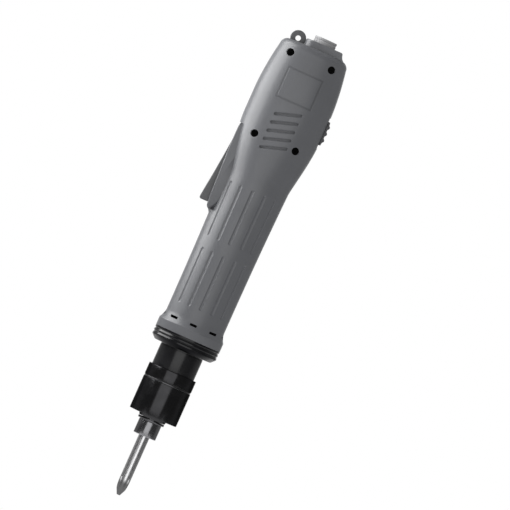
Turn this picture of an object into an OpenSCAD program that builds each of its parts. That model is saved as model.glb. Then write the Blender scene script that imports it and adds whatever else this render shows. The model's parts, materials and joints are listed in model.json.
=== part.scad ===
// Lever-start electric screwdriver, upright with its bit pointing down.
// The origin is the tip of the bit, +Z runs up the spindle, the screw wells face -Y,
// the start lever lies at -X and the direction slide at +X.

/* [Bit] */
// Bare length of the bit below the chuck sleeve
bit_reach = 37.2; // [25:0.1:80]
// Width across the bit's flats
hex_af = 6.35; // [6:0.05:6.6]
// Diameter over the turned corners of the bit's bare shank
bit_d = 6.6; // [6.4:0.05:7.2]
// Turn of the bit's hexagon about its axis
bit_turn = 13.5; // [0:0.5:60]
// Length of the bit's end that the chuck holds
hex_len = 15.3; // [13:0.1:18]
// Height of the bit's cone above its blunt tip
bit_cone = 5.8; // [4:0.1:7]
// Diameter of the blunt tip
bit_tip_d = 2; // [1.6:0.1:3]

/* [Chuck] */
// Outer diameter of the spindle's socket
spindle_d = 9.8; // [9.4:0.1:10.2]
// Diameter of the spindle behind its torque spring
tail_d = 8; // [7:0.1:9]
// Outer diameter of the chuck sleeve
sleeve_d = 13.8; // [12.8:0.1:15]
// Length of the chuck sleeve
sleeve_len = 9; // [8.6:0.1:11]
// How far the sleeve pulls down to let the bit go
sleeve_travel = 2.2; // [1.5:0.1:2.4]
// Diameter of the lock balls
lock_ball_d = 2.4; // [2:0.1:2.6]
// Height of the lock balls above the spindle's nose
lock_ball_rise = 6; // [5.8:0.1:6.4]
// Diameter of the stop washer above the sleeve
washer_d = 16.2; // [15:0.1:18]
// Thickness of the stop washer
washer_t = 1.3; // [0.8:0.1:1.6]

/* [Torque nut] */
// Outer diameter of the nut
nut_d = 29.4; // [28:0.1:33]
// Length of the nut's smooth grip
nut_len = 20.4; // [18:0.1:24]
// Thickness of the nut's end wall
nut_wall = 2.8; // [2:0.1:4]
// Height of the tapered collar under the nut
collar_h = 1.5; // [1:0.1:4]
// Thickness of the light washer under the lock ring
lock_washer_t = 0.8; // [0.5:0.1:1.2]
// Length of the lock ring on top of the nut
lock_len = 7.2; // [5:0.1:10]
// Diameter of the thread between the nut and the clutch housing
thread_d = 24; // [23.4:0.1:24.6]
// Rise of the nut in one turn
thread_pitch = 2; // [1:0.5:3]
// How far the nut can rise from its lowest setting
nut_travel = 7; // [5:0.5:8]

/* [Neck and nose ring] */
// Diameter of the smooth neck
neck_d = 26.4; // [25.6:0.1:27]
// Length of the neck that shows
neck_len = 13.5; // [11:0.1:18]
// Diameter of the nose ring
ring_d = 40.4; // [38:0.1:43]
// Length of the nose ring
ring_len = 8; // [7.6:0.1:10]
// Diameter of the nose ring at its chamfered foot
ring_foot_d = 35.4; // [34:0.1:37]

/* [Grip] */
// Diameter of the plain band at the grip's mouth
mouth_d = 40.4; // [38:0.1:43]
// Length of the plain band
mouth_len = 5; // [3.8:0.1:6]
// Length of the flare above the band
flare_len = 5.7; // [4.5:0.1:9]
// Diameter of the grip above the flare
grip_d = 36.4; // [36:0.1:38]
// Diameter of the grip where the head begins
grip_rear_d = 38.9; // [38:0.1:41]
// Length of the grip from the flare to the head
grip_len = 88.8; // [86:0.1:92]
// Wall of the moulded halves
wall = 2.3; // [2:0.1:2.6]
// Width of a grip groove
groove_w = 2.2; // [1.5:0.1:3]
// Depth of a grip groove
groove_depth = 0.9; // [0.4:0.1:1.2]
// Angle between two grooves
groove_step = 23.3; // [20:0.1:25]
// Height of a groove of the lower row
groove_low_len = 34.8; // [25:0.1:38]
// Height of a groove of the upper row
groove_high_len = 34.8; // [25:0.1:38]
// Height of the small slots in the flare
nose_slot_h = 1.5; // [1:0.1:2]
// Width of the small slots in the flare
nose_slot_w = 4.4; // [3:0.1:6]

/* [Head] */
// Width of the head
head_w = 47.9; // [46:0.1:50]
// Depth of the head
head_d = 44; // [43:0.1:46]
// Squareness of the head's section, where 2 is an ellipse
head_square = 2.3; // [2:0.1:2.8]
// Length over which the grip swells into the head
swell_len = 37; // [33:0.1:42]
// Length of the head at its full width
full_len = 12; // [10:0.1:16]
// Length over which the head narrows to its shoulder
crown_len = 29.8; // [28:0.1:34]
// Width of the head at its shoulder
shoulder_w = 41.8; // [40:0.1:44]
// Depth of the head at its shoulder
shoulder_d = 38.4; // [37:0.1:41]
// Radius of the shoulder
shoulder_r = 4.5; // [3.5:0.1:5]
// Width of the raised block round the power inlet
block_w = 22.6; // [20:0.1:24]
// Depth of that block
block_d = 19; // [17:0.1:22]
// Height of that block
block_h = 4.2; // [3:0.1:6]
// Sideways place of the power inlet
inlet_x = 3.05; // [2:0.05:4]
// Diameter of the power inlet's metal shell
inlet_d = 13.6; // [12:0.1:15]
// How far the inlet stands above its block
inlet_rise = 3.7; // [2:0.1:6]
// Width of a vent slot
vent_w = 1.3; // [0.8:0.1:2]
// Distance between two vent slots
vent_step = 5.22; // [4:0.02:6]
// Number of vent slots
vents = 5; // [3:1:5]

/* [Screws] */
// Diameter of a screw well
well_d = 4.6; // [4:0.1:5]
// Diameter of a housing screw
screw_d = 3; // [2.5:0.1:3]
// Sideways place of the screws
screw_x = 13; // [12.9:0.1:13.6]
// Distance between the lower and the upper screws
screw_rise = 51.3; // [49:0.1:53]
// Distance of the upper screws below the housing's top
screw_drop = 7.5; // [7:0.1:9]

/* [Lever] */
// Width of the start lever
lever_w = 15; // [12:0.1:16]
// Distance from the lever's pivot to its toe
lever_len = 45.5; // [42:0.1:47]
// How far the toe stands out of the guard
lever_out = 5.5; // [4:0.1:6]
// Angle through which the lever presses
lever_angle = 4.5; // [3:0.1:4.6]
// Width of the guard that holds the lever
guard_w = 22; // [21.8:0.1:24]
// How far the guard stands out of the grip at the lever's toe
guard_rise = 2.9; // [2.5:0.1:3.5]

/* [Hang loop] */
// Outer diameter of the loop
loop_d = 9.3; // [8:0.1:12]
// Diameter of the hole in the loop
loop_hole_d = 3.2; // [2.4:0.1:4]
// Thickness of the loop
loop_t = 3; // [2:0.1:4]

/* [Direction slide] */
// Length of the serrated knob
knob_len = 14.5; // [12:0.1:16]
// Width of the knob
knob_w = 9.2; // [7:0.1:11]
// Travel to each side of the middle
knob_travel = 2; // [1:0.1:2.5]

/* [Gears] */
// Module of the teeth
gear_module = 0.5; // [0.48:0.01:0.51]
// Thickness of a planet of the output stage
planet_t = 6; // [5:0.1:7]
// Thickness of a planet of the motor stage
planet_fast_t = 5.6; // [5:0.1:7]
// Backlash of each tooth flank
backlash = 0.06; // [0.04:0.01:0.08]
// Wall of the gear case
case_wall = 2.5; // [2.2:0.1:2.8]

/* [Motor] */
// Length of the motor's steel can
can_len = 48; // [46:0.1:52]
// Diameter of the motor's shaft
shaft_d = 3; // [2.6:0.1:3.2]

/* [Torque spring] */
// Diameter of the spring's wire
spring_wire = 1.5; // [1.2:0.1:1.7]
// Turns of the spring
spring_turns = 7; // [5:0.5:8]

/* [Hidden] */

// clearances: a turning fit, a fixed fit, flat faces, and parts that pass each other
running = 0.05;
snug = 0.04;
face = 0.1;
free = 0.3;
// overshoot of a cut past the face that it opens
past = 1;

// heights, from the tip of the bit upwards
z_sleeve = bit_reach;
z_nose = z_sleeve + 0.4;
z_hex = z_nose + 0.2;
z_washer = z_sleeve + sleeve_len + face;
z_collar = z_washer + washer_t + free;
z_nut = z_collar + collar_h;
z_nut_top = z_nut + nut_len;
z_lock_washer = z_nut_top + face;
z_lock = z_lock_washer + lock_washer_t + face;
z_neck = z_lock + lock_len;
z_ring = z_neck + neck_len;
z_shell = z_ring + ring_len;
z_mouth = z_shell + mouth_len;
z_flare = z_mouth + flare_len;
z_grip = z_flare + grip_len;
z_wide = z_grip + swell_len;
z_crown = z_wide + full_len;
z_shoulder = z_crown + crown_len;
z_top = z_shoulder + shoulder_r;

// heights inside the nut and the clutch housing
z_thrust = z_nut + nut_wall + free / 2;
thrust_t = 1;
z_seat = z_thrust + thrust_t + face;
seat_t = 2;
z_housing = z_nut + nut_wall + nut_travel + 2 * free;
seat_skirt = z_housing + 4 - z_seat;
z_spring = z_seat + seat_t + running;
bearing_t = 5.9;
z_bearing = z_ring + 1.5;
cam_t = 3.6;
z_cam = z_bearing - free - cam_t;
plate_t = 4;
clutch_gap = 2;
z_plate = z_cam - clutch_gap - plate_t;
race_t = 1.4;
ball_gap = 1.6;
z_race = z_plate - ball_gap - race_t;
flange_t = 1.6;
z_flange = z_ring + 2.5;

// heights of the gear train and the motor
z_case = z_flange + flange_t + face;
z_spigot = z_bearing + bearing_t + face;
plate_gap = 0.3;
carrier_t = 2.5;
z_carrier = z_spigot + 0.2;
z_slow = z_carrier + carrier_t + plate_gap;
z_first = z_slow + planet_t + 3 * plate_gap;
z_fast = z_first + carrier_t + plate_gap;
z_fast_top = z_fast + planet_fast_t;
z_motor_plate = z_fast_top + 1.5;
motor_plate_t = 3;
z_can = z_motor_plate + motor_plate_t + face;
z_can_top = z_can + can_len;

// radii
nose_r = mouth_d / 2;
grip_r = grip_d / 2;
grip_rear_r = grip_rear_d / 2;
head_r = head_w / 2;
bore_r = grip_r - wall;
case_r = bore_r - free;
case_bore = case_r - case_wall;
can_r = bore_r - 2;
can_wall = 1.5;
thread_r = thread_d / 2;
neck_r = neck_d / 2;
housing_bore = thread_r - 1.7;
plate_r = housing_bore - 0.4;
spigot_r = case_bore - snug;
bearing_wall = 0.86;
bearing_r = min(neck_r, spigot_r) - bearing_wall;
hub_r = 6;
spindle_r = spindle_d / 2;
tail_r = tail_d / 2;
shoulder_ring_r = spindle_r + 0.7;
spring_r = housing_bore - 1.75;
lock_ball_r = lock_ball_d / 2;
z_lock_ball = z_nose + lock_ball_rise;
land_r = spindle_r + face;
z_snap = z_nose + 0.75;
snap_t = 0.5;
lock_circle = land_r - lock_ball_r - running;

// gear train: sun, planet and ring teeth of both stages
sun_teeth = 12;
planet_teeth = 15;
ring_teeth = sun_teeth + 2 * planet_teeth;
planet_circle = gear_module * (sun_teeth + planet_teeth) / 2;
pressure = 20;
addendum = 0.7 * gear_module;
dedendum = 0.95 * gear_module;
planet_bore = 1.3;
pin_r = planet_bore - running;
disc_r = gear_module * ring_teeth / 2 - addendum - free;
sun_hub_r = 1.9;
sun_bore = 0.8;

// the start lever and its guard
z_pivot = z_grip + swell_len * 0.62;
pivot_r = 2.1;
pivot_x = -(half_w(z_pivot) - pivot_r - 0.05);
z_toe = z_pivot - lever_len;
guard_x = -(half_w(z_toe) + guard_rise);
toe_x = guard_x - lever_out;
pocket_x = -(half_w(z_toe) - 1.2);
pocket_y = lever_w / 2 + free + 0.1;
z_pocket = z_toe - 0.6;
z_guard = z_toe - 3.6;
cheek_y = guard_w / 2;
z_plunger = z_pivot - 15;
plunger_x = -16.4;
plunger_travel = 1.2;

// the direction slide and the vents
z_knob = z_wide + full_len * 0.32;
flat_x = head_r - 0.45;
z_vent = z_wide - 7.6;
z_nose_slot = z_flare - 3.35;
vent_run = 15.8;
vent_rise = 5.2;
z_screw_high = z_top - screw_drop;
z_screw_low = z_screw_high - screw_rise;
screw_heights = [z_screw_low, z_screw_high];
boss_r = well_d / 2 + 1.5;
head_seat_y = 9;
thread_end_y = 9;
loop_x = -12.35;
z_loop = z_top + 2.1;
z_inlet = z_top - wall - 1.3;
board_y = 7;
board_t = 1.6;
board_w = 16.8;
z_board = z_screw_low - 7;
board_len = 52;
board_posts = [z_board + 4, z_board + board_len - 4];
board_screw_r = 1.1;
switch_posts = [z_plunger - 3.2, z_plunger + 3.2];
switch_post_x = -12;
switch_post_r = 0.9;
switch_half_y = 2.9;
// collar that holds the gear case between the halves
collar_out = 1.8;
collar_t = 2;
z_case_collar = z_shell + 2;
// slot of the direction switch for the knob's foot
foot_half_z = 2.8;
foot_half_y = 1.4;

// outline of the moulded housing: half width, half depth and squareness at a height
function ease(t) = sin(90 * pow(t, 1.1));
function swell(z) = ease(min(1, max(0, (z - z_grip) / swell_len)));
function crown(z) = pow(min(1, max(0, (z - z_crown) / crown_len)), 1.8);
function grip_half(z) =
    z <= z_mouth ? nose_r :
    z <= z_flare ? grip_r + (nose_r - grip_r) * pow((z_flare - z) / flare_len, 1.7) :
    grip_r + (grip_rear_r - grip_r) * pow(min(1, (z - z_flare) / grip_len), 2.3);
function shoulder_drop(z) =
    z <= z_shoulder ? 0 : shoulder_r * (1 - sqrt(max(0, 1 - pow((z - z_shoulder) / shoulder_r, 2))));
function half(z, full, top) =
    z <= z_grip ? grip_half(z) :
    grip_rear_r + (full - grip_rear_r) * swell(z) - (full - top) * crown(z) - shoulder_drop(z);
function half_w(z) = half(z, head_r, shoulder_w / 2);
function half_d(z) = half(z, head_d / 2, shoulder_d / 2);
function square_at(z) = 2 + (head_square - 2) * swell(z);
// depth of the housing's surface at a sideways place and a height
function skin_y(x, z) =
    half_d(z) * pow(1 - pow(abs(x) / half_w(z), square_at(z)), 1 / square_at(z));

SIDES = 32;
outer_heights = concat([z_shell], [for (k = [0:4]) z_mouth + flare_len * k / 4],
    [for (k = [1:5]) z_flare + grip_len * k / 5], [for (k = [1:9]) z_grip + swell_len * k / 9],
    [z_crown], [for (k = [1:7]) z_crown + crown_len * k / 7],
    [for (a = [20:17.5:72.5]) z_shoulder + shoulder_r * sin(a)], [z_top]);
inner_heights = concat([z_shell - past], [for (k = [1:4]) z_flare + grip_len * k / 4],
    [for (k = [1:5]) z_grip + swell_len * k / 5], [z_crown],
    [for (k = [1:4]) z_crown + crown_len * k / 4],
    [for (a = [35:35:70]) z_shoulder + (shoulder_r - wall) * sin(a)], [z_top - wall]);

function section(a, b, square, z) = [for (i = [0:SIDES]) let (t = 180 * i / SIDES)
    [a * sign(cos(t)) * pow(abs(cos(t)), 2 / square), -b * pow(abs(sin(t)), 2 / square), z]];
function outer_section(z) = section(half_w(z), half_d(z), square_at(z), z);
// the inside follows the outside at one wall's distance, and is a plain bore below
function inner_half(z, outer) = z < z_flare + past ? bore_r
    : outer - wall + (z > z_shoulder ? shoulder_drop(z) - (shoulder_r - wall)
        * (1 - sqrt(max(0, 1 - pow((z - z_shoulder) / (shoulder_r - wall), 2)))) : 0);
function inner_section(z) = let (a = inner_half(z, half_w(z)), b = inner_half(z, half_d(z)))
    concat([[a, past, z]], section(a, b, square_at(z), z), [[-a, past, z]]);

// a solid through rings of equally many points, listed from the lowest to the highest
module loft(rings) {
    n = len(rings[0]);
    last = len(rings) - 1;
    sides = [for (k = [0:last - 1], i = [0:n - 1]) let (j = (i + 1) % n)
        each [[k * n + i, k * n + j, (k + 1) * n + j], [k * n + i, (k + 1) * n + j, (k + 1) * n + i]]];
    caps = [[for (i = [n - 1:-1:0]) i], [for (i = [0:n - 1]) last * n + i]];
    polyhedron(points = [for (ring = rings, p = ring) p], faces = concat(caps, sides), convexity = 6);
}

// a wound wire spring along Z
module coil(z0, z1, r, wire_r, turns, sides = 6, steps = 12) {
    count = round(turns * steps);
    rise = z1 - z0 - 2 * wire_r;
    loft_ring = [for (k = [0:count]) let (t = 360 * turns * k / count)
        [for (i = [0:sides - 1]) let (a = 360 * i / sides, q = r + wire_r * cos(a))
            [q * cos(t), q * sin(t), z0 + wire_r + rise * k / count + wire_r * sin(a)]]];
    loft(loft_ring);
}

module turned(profile) {
    rotate_extrude($fn = 96) polygon(profile);
}

module tube(z0, z1, outer, inner) {
    turned([[inner, z0], [outer, z0], [outer, z1], [inner, z1]]);
}

module rod(z0, z1, r) {
    translate([0, 0, z0]) cylinder(h = z1 - z0, r = r, $fn = 64);
}

module rod_y(x, z, y0, y1, r) {
    translate([x, y0, z]) rotate([-90, 0, 0]) cylinder(h = y1 - y0, r = r, $fn = 48);
}

module rod_x(y, z, x0, x1, r) {
    translate([x0, y, z]) rotate([0, 90, 0]) cylinder(h = x1 - x0, r = r, $fn = 48);
}

module box(lo, hi) {
    translate(lo) cube(hi - lo);
}

// an outline in X and Z, as thick as the span from y0 to y1
module slab(points, y0, y1) {
    translate([0, y1, 0]) rotate([90, 0, 0]) linear_extrude(y1 - y0) polygon(points);
}

// a ring of round cross-section, for ball tracks
module track(z, circle_r, r) {
    translate([0, 0, z]) rotate_extrude($fn = 96) translate([circle_r, 0]) circle(r = r, $fn = 32);
}

module ball_circle(z, circle_r, r, count, start = 0) {
    for (i = [0:count - 1]) rotate([0, 0, start + 360 * i / count]) translate([circle_r, 0, z])
        sphere(r = r, $fn = 32);
}

// involute teeth
function involute(a) = tan(a) - a * PI / 180;
function flank_angle(rho, pitch_r, half_tooth) = half_tooth + (involute(pressure)
    - involute(acos(min(1, pitch_r * cos(pressure) / rho)))) * 180 / PI;
function at_angle(r, a) = [r * cos(a), r * sin(a)];
function gear_points(teeth, tip, root, thin) =
    let (pitch_r = gear_module * teeth / 2,
        base = pitch_r * cos(pressure),
        tip_r = pitch_r + tip,
        root_r = pitch_r - root,
        start_r = max(base, root_r),
        half_tooth = 90 / teeth - thin / pitch_r * 180 / PI,
        steps = 4,
        flank = [for (k = [0:steps]) let (rho = start_r + (tip_r - start_r) * k / steps)
            [rho, flank_angle(rho, pitch_r, half_tooth)]],
        foot = flank_angle(start_r, pitch_r, half_tooth))
    [for (i = [0:teeth - 1]) let (c = 360 * i / teeth)
        each concat([at_angle(root_r, c - foot)], [for (f = flank) at_angle(f[0], c - f[1])],
            [for (k = [steps:-1:0]) at_angle(flank[k][0], c + flank[k][1])],
            [at_angle(root_r, c + foot)])];

module gear(teeth, z0, z1, bore) {
    difference() {
        translate([0, 0, z0]) linear_extrude(z1 - z0)
            polygon(gear_points(teeth, addendum, dedendum, backlash / 2));
        rod(z0 - past, z1 + past, bore);
    }
}

// Housing

// outline of the lever's guard, seen from the front
guard_outline = [[guard_x + 0.1, z_guard + 2.9], [guard_x + 0.45, z_guard + 1.2],
    [guard_x + 1.1, z_guard + 0.2], [guard_x + 1.7, z_guard], [guard_x + 2.7, z_guard + 1],
    [guard_x + 4.3, z_guard + 3.4], [guard_x + 5.5, z_guard + 5.8], [guard_x + 6.1, z_guard + 8.8],
    [guard_x + 8, z_guard + 14], [guard_x + 8, z_pivot + 1.5], [pivot_x - 2, z_pivot + 4.4],
    [pivot_x - 2.35, z_pivot + 1.5], [pivot_x - 2.4, z_pivot - 8], [pivot_x - 2.1, z_pivot - 16],
    [guard_x - 0.95, z_pivot - 23.5], [guard_x - 0.5, z_pivot - 36]];

// fillet below the guard, which runs round the grip and dies away toward the front
fillet_turn = 22;
module guard_fillet() {
    loft([for (step = [[-3.2, -0.1], [-1.6, 0.3], [-0.4, 1.1], [0.8, 2]])
        let (z = z_guard + step[0], r = grip_half(z) - 0.1)
            concat([[guard_x + 8, 0, z], [guard_x + 8, -r * sin(fillet_turn), z]],
                [for (k = [5:-1:0])
                    let (turn = fillet_turn * k / 5, out = r + step[1] * (1 - pow(k / 5, 2)))
                        [-out * cos(turn), -out * sin(turn), z]])]);
}

// the raised block round the power inlet, with its sloping right side
block_x = inlet_x + 0.75;
block_left = block_x - block_w / 2;
block_right = block_x + block_w / 2;
block_outline = [[block_left, z_top - 3], [block_left, z_top + block_h - 1],
    [block_left + 1, z_top + block_h], [block_right - 0.2, z_top + block_h],
    [block_right + 0.5, z_top + 1.9], [block_right + 1.3, z_top + 0.5],
    [block_right + 2.4, z_top - 0.4], [block_right + 2.4, z_top - 3]];

module grip_groove(angle, z0, len) {
    r0 = grip_half(z0) - groove_depth;
    lean = atan((grip_half(z0 + len) - grip_half(z0)) / len);
    rotate([0, 0, angle - 90]) translate([r0, 0, z0]) rotate([0, lean, 0]) {
        for (z = [groove_w / 2, len - groove_w / 2])
            translate([0, 0, z]) rotate([0, 90, 0]) cylinder(h = 4, r = groove_w / 2, $fn = 32);
        translate([0, -groove_w / 2, groove_w / 2]) cube([4, groove_w, len - groove_w]);
    }
}

module vent_slot(i) {
    z0 = z_vent + 10 - i * vent_step;
    length = sqrt(vent_run * vent_run + vent_rise * vent_rise) - vent_w;
    translate([-vent_run / 2 + 0.5, -half_d(z_wide) - past, z0])
        rotate([0, -atan(vent_rise / vent_run), 0]) rotate([-90, 0, 0]) {
            for (x = [vent_w / 2, vent_w / 2 + length])
                translate([x, 0, 0]) cylinder(h = 8, r = vent_w / 2, $fn = 32);
            translate([vent_w / 2, -vent_w / 2, 0]) cube([length, vent_w, 8]);
        }
}

// one moulded half, in the space below y = 0; its children stand in its hollow
module shell_half(front) {
    difference() {
        union() {
            loft([for (z = outer_heights) outer_section(z)]);
            slab(guard_outline, -cheek_y, 0);
            guard_fillet();
            slab(block_outline, -block_d / 2, 0);
        }
        // the hollow, without what stands on its walls
        difference() {
            loft([for (z = inner_heights) inner_section(z)]);
            for (x = [-screw_x, screw_x], z = screw_heights) rod_y(x, z, -head_r, 2, boss_r);
            // ribs that hold the motor
            for (z = [z_can + 4, z_can + can_len - 8]) tube(z, z + 2, nose_r, can_r + free);
            // seat of the hang loop's foot
            box([loop_x - 5.6, -6, z_top - wall - 1.6], [loop_x + 5.3, 2, z_top]);
            // shelves above and below the direction switch
            for (z = [z_knob - 10, z_knob + 8.3]) box([13, -5.5, z], [head_r, 2, z + 1.7]);
            children();
        }
        // groove that holds the gear case's collar
        tube(z_case_collar - free, z_case_collar + collar_t + free, case_r + collar_out + free,
            case_r - past);
        // the lever's pocket, open to the inside behind the lever's nub
        box([toe_x - past, -pocket_y, z_pocket], [pocket_x, past, z_grip + 0.4]);
        box([toe_x - past, -pocket_y, z_grip], [plunger_x + 2.4, past, z_pivot - 3.4]);
        box([toe_x - past, -pocket_y, z_pivot - 4], [pivot_x + 3, past, z_pivot + 4.5]);
        rod_y(pivot_x, z_pivot, -cheek_y + 1, past, 1 + snug);
        // the direction slide's track and window
        box([flat_x, -knob_w / 2 - free, z_knob - knob_len / 2 - knob_travel - free],
            [head_r + past, past, z_knob + knob_len / 2 + knob_travel + free]);
        box([head_r - wall - 3, -foot_half_y - free, z_knob - foot_half_z - free - knob_travel],
            [head_r + past, past, z_knob + foot_half_z + free + knob_travel]);
        // the inlet's hole and the hang loop's slot
        translate([inlet_x, 0, 0]) rod(z_top - wall - 3, z_top + block_h + past, inlet_d / 2 + snug);
        box([loop_x - 4.3 - face, -loop_t / 2 - snug, z_top - wall - 0.8],
            [loop_x + 4.3 + face, past, z_top - wall + 0.9]);
        box([loop_x - 3 - snug, -loop_t / 2 - snug, z_top - wall],
            [loop_x + 3 + snug, past, z_top + past]);
        rod_y(loop_x, z_loop, -loop_t / 2 - snug, past, loop_d / 2 + snug);
        for (x = [-screw_x, screw_x], z = screw_heights) if (front) {
            rod_y(x, z, -half_d(z) - past, -head_seat_y, well_d / 2);
            rod_y(x, z, -head_seat_y - past, past, screw_d / 2 + snug);
        } else {
            rod_y(x, z, -thread_end_y - 0.5, past, screw_d / 2 + snug);
        }
        for (i = [0:vents - 1]) vent_slot(i);
        for (a = [-2:2]) {
            grip_groove(a * groove_step, z_flare + 6.4, groove_low_len);
            grip_groove(a * groove_step, z_flare + 48.1, groove_high_len);
        }
        for (a = front ? [-80:40:80] : [-60:40:60]) rotate([0, 0, a])
            box([-nose_slot_w / 2, -nose_r - past, z_nose_slot],
                [nose_slot_w / 2, -case_r, z_nose_slot + nose_slot_h]);
    }
}

module front_shell() {
    color([0.38, 0.385, 0.4]) shell_half(true);
}

module rear_shell() {
    color([0.38, 0.385, 0.4]) mirror([0, 1, 0]) difference() {
        union() {
            shell_half(false) {
                // posts of the circuit board and of the start switch
                for (z = board_posts)
                    rod_y(0, z, -head_r, -board_y - board_t - running, board_screw_r + 1.5);
                for (z = switch_posts)
                    rod_y(switch_post_x, z, -head_r, -switch_half_y - running, switch_post_r + 1);
            }
            for (z = switch_posts) rod_y(switch_post_x, z, -5, switch_half_y - 0.5, switch_post_r);
        }
        for (z = board_posts)
            rod_y(0, z, -board_y - board_t - 7, -board_y, board_screw_r + snug);
    }
}

module housing_screws() {
    color([0.05, 0.05, 0.055]) for (x = [-screw_x, screw_x], z = screw_heights) difference() {
        union() {
            rod_y(x, z, -head_seat_y - 2, -head_seat_y - running, well_d / 2 - 0.2);
            rod_y(x, z, -head_seat_y - 0.5, thread_end_y, screw_d / 2);
        }
        // cross recess
        for (turn = [0, 90]) translate([x, 0, z]) rotate([0, turn, 0])
            box([-1.4, -head_seat_y - 2 - past, -0.35], [1.4, -head_seat_y - 0.9, 0.35]);
    }
}

module hang_loop() {
    color([0.3, 0.3, 0.31]) difference() {
        union() {
            rod_y(loop_x, z_loop, -loop_t / 2, loop_t / 2, loop_d / 2);
            box([loop_x - 3, -loop_t / 2, z_top - wall + 0.5], [loop_x + 3, loop_t / 2, z_loop]);
            box([loop_x - 4.3, -loop_t / 2, z_top - wall - 0.7],
                [loop_x + 4.3, loop_t / 2, z_top - wall + 0.8]);
        }
        rod_y(loop_x, z_loop, -loop_t, loop_t, loop_hole_d / 2);
    }
}

module inlet_shell() {
    z_rim = z_top + block_h + inlet_rise;
    color([0.75, 0.76, 0.77]) translate([inlet_x, 0, 0]) difference() {
        union() {
            rod(z_inlet, z_rim - 0.4, inlet_d / 2);
            translate([0, 0, z_rim - 0.4])
                cylinder(h = 0.4, r1 = inlet_d / 2, r2 = inlet_d / 2 - 0.4, $fn = 64);
            rod(z_inlet, z_top - wall - face, inlet_d / 2 + 1);
        }
        rod(z_inlet - past, z_rim + past, inlet_d / 2 - 0.8);
    }
}

module inlet_insert() {
    z_rim = z_top + block_h + inlet_rise;
    color([0.08, 0.08, 0.08]) translate([inlet_x, 0, 0]) difference() {
        rod(z_inlet, z_rim - 0.9, inlet_d / 2 - 0.8 - snug);
        // contact holes on an open circle, and the key notch
        for (a = [-90, -30, 30, 90, 150, 210]) if (a != 150) rotate([0, 0, a])
            translate([3.2, 0, 0]) rod(z_rim - 6, z_rim, 0.6);
        box([-1, -inlet_d / 2, z_rim - 4], [1, -inlet_d / 2 + 1.9, z_rim]);
    }
}

// Nose: black grooved ring, clutch housing with its neck, and their bearings

module nose_ring() {
    r = ring_d / 2;
    color([0.06, 0.06, 0.065]) turned([
        [neck_r + snug, z_ring], [ring_foot_d / 2, z_ring], [r - 0.2, z_ring + 2.3],
        [r, z_ring + 2.6], [r, z_ring + 3], [r - 0.5, z_ring + 4], [r, z_ring + 4.4],
        [r, z_ring + 4.9], [r - 0.5, z_ring + 5.9], [r, z_ring + 6.3],
        [r, z_ring + ring_len - face], [case_r + snug, z_ring + ring_len - face],
        [case_r + snug, z_flange - running], [neck_r + snug, z_flange - running]]);
}

module clutch_housing() {
    top = z_spigot - snug;
    color([0.07, 0.07, 0.075]) turned([
        [housing_bore, z_housing], [thread_r - 0.4, z_housing], [thread_r, z_housing + 0.4],
        [thread_r, z_neck - 1], [neck_r, z_neck - 1], [neck_r, z_flange], [case_r, z_flange],
        [case_r, z_flange + flange_t], [spigot_r, z_flange + flange_t], [spigot_r, top],
        [bearing_r + snug, top], [bearing_r + snug, z_bearing - face], [housing_bore, z_bearing - face]]);
}

module output_bearing() {
    mid_r = (hub_r + bearing_r) / 2;
    mid_z = z_bearing + bearing_t / 2;
    ball_r = 1.75;
    color([0.72, 0.73, 0.75]) {
        difference() {
            union() {
                tube(z_bearing, z_bearing + bearing_t, mid_r - 1.2, hub_r);
                tube(z_bearing, z_bearing + bearing_t, bearing_r, mid_r + 1.2);
            }
            track(mid_z, mid_r, ball_r + running);
        }
        ball_circle(mid_z, mid_r, ball_r, 10);
    }
}

thrust_circle = (tail_r + housing_bore) / 2 + 0.15;
thrust_ball_r = 1.2;
z_thrust_balls = z_race + race_t + ball_gap / 2;

module spring_race() {
    color([0.7, 0.71, 0.73]) difference() {
        tube(z_race, z_race + race_t, housing_bore - face, tail_r + 0.35);
        track(z_thrust_balls, thrust_circle, thrust_ball_r + running);
    }
}

module thrust_balls() {
    color([0.8, 0.8, 0.82]) ball_circle(z_thrust_balls, thrust_circle, thrust_ball_r, 14);
}

// Gear case

module gear_case() {
    color([0.1, 0.1, 0.105]) turned([
        [case_bore, z_case], [case_r, z_case], [case_r, z_case_collar],
        [case_r + collar_out, z_case_collar], [case_r + collar_out, z_case_collar + collar_t],
        [case_r, z_case_collar + collar_t], [case_r, z_motor_plate + motor_plate_t],
        [case_bore, z_motor_plate + motor_plate_t]]);
}

module ring_gear() {
    color([0.62, 0.62, 0.6]) translate([0, 0, z_spigot])
        linear_extrude(z_fast_top + 1.2 - z_spigot) difference() {
            circle(r = case_bore - snug, $fn = 96);
            polygon(gear_points(ring_teeth, dedendum, addendum, -backlash / 2));
        }
}

motor_screw_circle = 8;
motor_screw_r = 1.5;

module motor_plate() {
    color([0.6, 0.61, 0.63]) difference() {
        rod(z_motor_plate, z_motor_plate + motor_plate_t, case_bore - snug);
        rod(z_motor_plate - past, z_can, 3.3);
        for (a = [90, 270]) rotate([0, 0, a]) translate([motor_screw_circle, 0, 0]) {
            rod(z_motor_plate - past, z_motor_plate + 1.9, motor_screw_r + 1.3);
            rod(z_motor_plate - past, z_can, motor_screw_r + snug);
        }
    }
}

module motor_screws() {
    color([0.55, 0.55, 0.57]) for (a = [90, 270]) rotate([0, 0, a]) translate([motor_screw_circle, 0, 0])
        difference() {
            union() {
                rod(z_motor_plate + 0.1, z_motor_plate + 1.85, motor_screw_r + 1.1);
                rod(z_motor_plate + 1.5, z_can + can_wall + 0.4, motor_screw_r);
            }
            for (turn = [0, 90]) rotate([0, 0, turn])
                box([-1.6, -0.35, z_motor_plate - past], [1.6, 0.35, z_motor_plate + 1]);
        }
}

// Motor

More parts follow.
